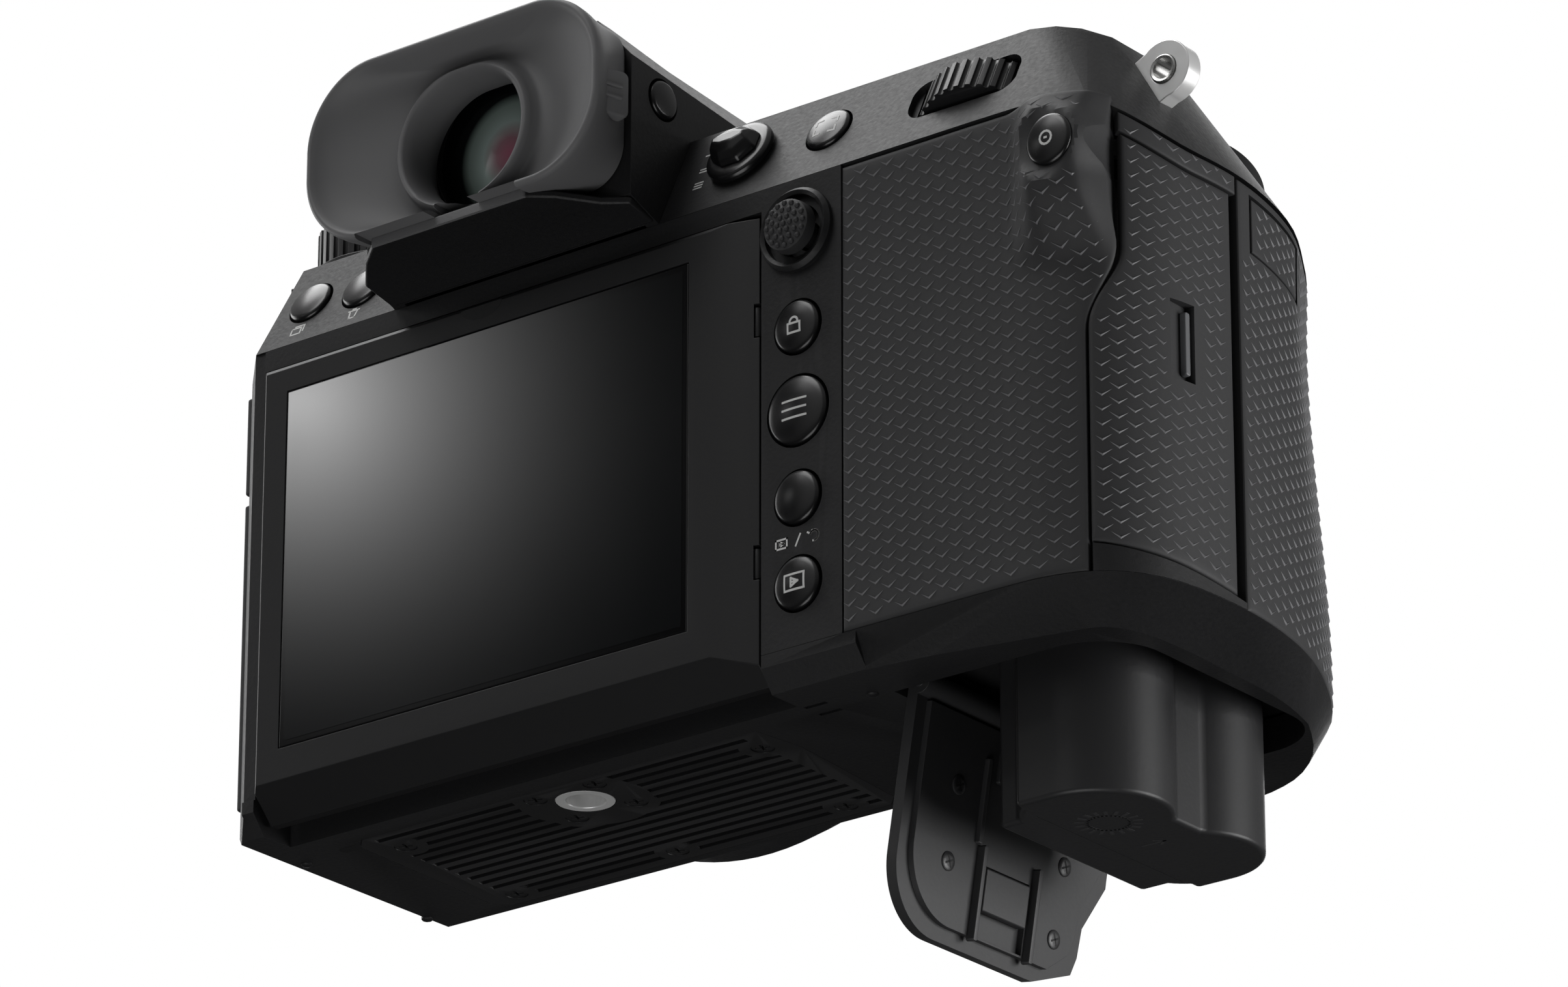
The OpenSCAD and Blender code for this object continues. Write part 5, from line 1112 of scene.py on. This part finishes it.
@dataclass
class Monitor:
    """The tilting monitor: housing, cover glass and the panel behind it.

    Attributes:
        face: Y of the cover glass.
    """

    face: float = -19.0

    def build(self) -> None:
        """Dresses the housing, the plates and the glass, and adds the panel and a flat dark half-oval of painted shade
        for its finger notch.
        """
        dress(SATIN, 0.5, "monitor_housing")
        dress(PRESSED, 0.12, "tilt_arm", "tilt_frame", "drop_frame")
        dress(GLASS, 0.2, "monitor_glass")
        panel = Shape()
        panel.block(on_rear(-2.0, 34.8, self.face), (-32.9, 32.9), (-24.05, 24.1), (-0.3, 0.006), 0.5, 0.004)
        panel.piece("screen_panel", PANEL, "monitor", slot="glass")
        # Painted shade: a flat dark half-oval where the finger notch's hollow is.
        notch = Shape()
        seat = on_rear(-2.5, 63.2, self.face)
        half = arc(1.0, spread(180, 360, 24))
        notch.loft([[seat.at(3.4 * u, 1.9 * v, out) for u, v in half] for out in (-0.4, 0.012)])
        notch.piece("monitor_finger_notch_painted_shade", INNER_AND_PAINTED_SHADE, "monitor", slot="matte")


@dataclass
class BatteryBay:
    """The battery half out of its bay and the door that hangs open beside it.

    Attributes:
        pivot: X and Z of the door's hinge.
        swing: Angle of the open door.
    """

    pivot: tuple[float, float] = (57.2, 1.6)
    swing: float = math.radians(99.5)

    def door_seat(self, s: float, y: float, h: float) -> Seat:
        """A place on the open door's inner face, s from the hinge and h above the hinge line when shut."""
        c, n = math.cos(self.swing), math.sin(self.swing)
        away, up = Vector((c, 0, -n)), Vector((n, 0, c))
        origin = Vector((self.pivot[0], y, self.pivot[1])) + away * s + up * h
        return Seat(origin, away, AHEAD)

    def build(self) -> None:
        """Dresses the battery, the door and its latch, and adds their small parts."""
        dress(CELL, 0.7, "battery")
        # The door and its latch are painted lighter, standing in for light that the battery keeps off them.
        dress(NYLON_PAINTED_LIGHT, 0.4, "battery_door")
        dress(NYLON_PAINTED_LIGHT, 0.25, "door_latch")
        self.door_parts()
        self.battery_marks()

    def door_parts(self) -> None:
        """Screws and ribs on the door's inner face, the screws' cross slots drawn as dark lines of painted shade."""
        screws = Shape()
        cross = Shape()
        for s, y in ((10.8, 4.4), (20.6, 4.2), (15.1, 27.3), (24.6, 26.9)):
            seat = self.door_seat(s, y, 0.8)
            screws.lathe(seat, [(0.01, -0.2), (1.25, -0.2), (1.25, 0.12), (1.1, 0.24), (0.6, 0.28), (0.01, 0.28)], 32)
            # Dark lines on the heads: painted shade of the cross slots.
            for turn in (25, 115):
                across, up = arc(0.7, [turn])[0]
                cross.line(seat, [(-across, -up), (across, up)], 0.26, lambda u, v: 0.28, 0.01)
        screws.piece("door_screws", PRESSED, "battery_door", slot="matte")
        cross.piece("door_screw_slots_painted_shade", INNER_AND_PAINTED_SHADE, "battery_door", slot="matte")
        ribs = Shape()
        for s0, s1, y0, y1, h in ((6.0, 17.0, 9.0, 9.8, 0.7), (17.0, 29.2, 9.8, 10.6, 1.1),
                                  (17.0, 29.2, 21.2, 22.0, 1.1), (4.6, 8.6, 11.6, 22.4, 0.6)):
            ribs.block(self.door_seat(0, 0, 0.8), (s0, s1), (y0, y1), (-0.2, h), 0.3, 0.2)
        ribs.piece("door_ribs", NYLON_PAINTED_LIGHT, "battery_door", slot="matte")

    def battery_marks(self) -> None:
        """The seam of the battery's end cap, and a generic ring of ticks with an arrow."""
        seat = on_base(0, 0, -17.2)
        mark = Shape()
        mid = (75.6, -9.0)
        for a in range(0, 360, 20):
            mark.line(seat, arc(3.3, [a], *mid) + arc(4.0, [a], *mid), 0.5)
        mark.line(seat, arc(2.6, range(0, 361, 12), *mid), 0.3)
        mark.line(seat, [(74.0, -18.4), (77.2, -18.4)], 0.35)
        mark.line(seat, [(76.2, -17.6), (77.3, -18.4), (76.2, -19.2)], 0.35)
        mark.piece("battery_marks", GREY_INK, "battery", slot="matte")
        seam = Shape()
        seam.line(seat, [(70.15, -32.0), (70.15, -1.8)], 0.14, thick=0.012)
        seam.line(on_rear(0, 0, -2.8), [(70.6, -16.6), (70.6, 4.0)], 0.14, thick=0.012)
        seam.piece("battery_seam", INNER_AND_PAINTED_SHADE, "battery", slot="matte")


@dataclass
class Studio:
    """Camera, floor and lights of the photograph.

    Attributes:
        eye: Where the camera stands, in millimetres.
        right: Direction to the right in the photograph.
        up: Direction up in the photograph.
        lens: Focal length on a 36 mm wide sensor.
        floor: Height of the floor, so far below that no view from under the part is hidden by it.
        aim: What the soft lights face.
        card_far: How far the card that the screen mirrors stands from it.
        card_half: Half the side of that card.
    """

    eye: tuple[float, float, float] = (599.96, -721.45, -340.36)
    right: tuple[float, float, float] = (0.78586, 0.61841, 0.0)
    up: tuple[float, float, float] = (0.23366, -0.29693, 0.92587)
    lens: float = 179.4
    floor: float = -2500.0
    aim: tuple[float, float, float] = (22.0, 0.0, 40.0)
    card_far: float = 1200.0
    card_half: float = 400.0

    def build(self) -> None:
        """Sets the stage."""
        bpy.context.scene.view_settings.view_transform = "Standard"
        self.camera()
        self.world()
        self.ground()
        for name, at, size, watts in (
                ("key_softbox", (-250, -700, 1000), 600, 4.6), ("side_softbox", (600, 260, -80), 400, 3.8),
                ("rear_fill", (-300, -1100, 500), 800, 0.4), ("top_softbox", (-450, 0, 1100), 700, 8.0),
                ("low_fill", (150, -580, -700), 700, 3.6),
                ("front_fill", (-600, 900, 500), 800, 6.0), ("left_fill", (-1000, -60, 260), 600, 4.0)):
            self.softbox(name, Vector(at), size, watts)
        self.screen_card()

    def camera(self) -> None:
        """Stands the camera where the photograph was taken from."""
        lens = bpy.data.cameras.new("view")
        lens.lens, lens.sensor_width, lens.sensor_fit = self.lens, 36.0, "HORIZONTAL"
        lens.clip_start, lens.clip_end = 0.01, 50.0
        eye = stand("view", lens)
        right, up = Vector(self.right), Vector(self.up)
        turn = Matrix((right, up, right.cross(up))).transposed()
        eye.matrix_world = Matrix.Translation(Vector(self.eye) * MM) @ turn.to_4x4()
        bpy.context.scene.camera = eye

    def world(self) -> None:
        """A dim sky: white to the camera and through glass, and to gloss grey above and dark below."""
        world = bpy.data.worlds.new("studio")
        bpy.context.scene.world = world
        tree = empty(world)
        path = add(tree, "ShaderNodeLightPath")
        seen = add(tree, "ShaderNodeMath", {0: path.outputs["Is Camera Ray"], 1: path.outputs["Is Transmission Ray"]},
                   operation="MAXIMUM").outputs[0]
        way = add(tree, "ShaderNodeTexCoord").outputs["Generated"]
        high = add(tree, "ShaderNodeSeparateXYZ", {0: way}).outputs["Z"]
        bright = add(tree, "ShaderNodeMapRange", {"Value": high, "From Min": -0.3, "From Max": 0.9, "To Min": 0.03,
                     "To Max": 0.4}).outputs[0]
        gloss = add(tree, "ShaderNodeMix", {0: path.outputs["Is Glossy Ray"], 2: 0.08, 3: bright}).outputs[0]
        level = add(tree, "ShaderNodeMath", {0: seen, 1: gloss}, operation="MAXIMUM").outputs[0]
        sky = add(tree, "ShaderNodeBackground", {"Color": linear("#ffffff"), "Strength": level})
        add(tree, "ShaderNodeOutputWorld", {"Surface": sky.outputs[0]})

    def ground(self) -> None:
        """A wide pale floor far below."""
        mesh = bpy.data.meshes.new("floor")
        w, z = 6.0, self.floor * MM
        mesh.from_pydata([(-w, -w, z), (w, -w, z), (w, w, z), (-w, w, z)], [], [(0, 1, 2, 3)])
        paper = PAPER.material()
        tree = paper.node_tree
        surface = next(n for n in tree.nodes if n.type == "BSDF_PRINCIPLED")
        tree.links.new(add(tree, "ShaderNodeLightPath").outputs["Is Camera Ray"], surface.inputs["Emission Strength"])
        surface.inputs["Emission Color"].default_value = linear("#cfcfce")
        mesh.materials.append(paper)
        floor = stand("floor", mesh)
        floor.visible_glossy = False

    def softbox(self, name: str, at: Vector, size: float, watts: float) -> None:
        """One square soft light that faces the camera body.

        Args:
            name: Its name.
            at: Its place in millimetres.
            size: Its side in millimetres.
            watts: Its power.
        """
        lamp = bpy.data.lights.new(name, "AREA")
        lamp.energy, lamp.size, lamp.shape = watts, size * MM, "SQUARE"
        made = stand(name, lamp)
        made.location = at * MM
        made.rotation_euler = (Vector(self.aim) - at).to_track_quat("-Z", "Y").to_euler()

    def screen_card(self) -> None:
        """A white card that the screen's glass mirrors as a pale sweep in its upper left corner."""
        corner = Vector((-35.0, -19.0, 59.0))
        ray = corner - Vector(self.eye)
        ray.y = -ray.y
        ray.normalize()
        centre = corner + ray * self.card_far
        side = ray.cross(UP).normalized()
        rise = side.cross(ray)
        half = self.card_half * MM
        mesh = bpy.data.meshes.new("screen_card")
        mesh.from_pydata([side * u * half + rise * v * half for u, v in ((-1, -1), (1, -1), (1, 1), (-1, 1))], [],
                         [(0, 1, 2, 3)])
        glow = bpy.data.materials.new("lit_card")
        tree = empty(glow)
        place = add(tree, "ShaderNodeTexCoord").outputs["Object"]
        far = add(tree, "ShaderNodeVectorMath", {0: place}, operation="LENGTH").outputs["Value"]
        fall = add(tree, "ShaderNodeMapRange", {"Value": far, "From Max": 0.2, "To Min": 1.0,
                   "To Max": 0.0}).outputs[0]
        steep = add(tree, "ShaderNodeMath", {0: fall, 1: 6.5}, operation="POWER").outputs[0]
        power = add(tree, "ShaderNodeMath", {0: steep, 1: 11.0}, operation="MULTIPLY").outputs[0]
        light = add(tree, "ShaderNodeEmission", {"Color": linear("#ffffff"), "Strength": power})
        add(tree, "ShaderNodeOutputMaterial", {"Surface": light.outputs[0]})
        mesh.materials.append(glow)
        card = stand("screen_card", mesh)
        card.location = centre * MM
        card.visible_camera = card.visible_diffuse = card.visible_shadow = card.visible_transmission = False


def main() -> None:
    """Builds each part of the scene in order."""
    logging.basicConfig(level=logging.INFO, format="%(message)s")
    for part in (Studio(), Casing(), GripSkins(), Eyecup(), Buttons(), Controls(), Monitor(), BatteryBay()):
        log.info("building %s", type(part).__name__)
        part.build()


if __name__ == "__main__":
    main()
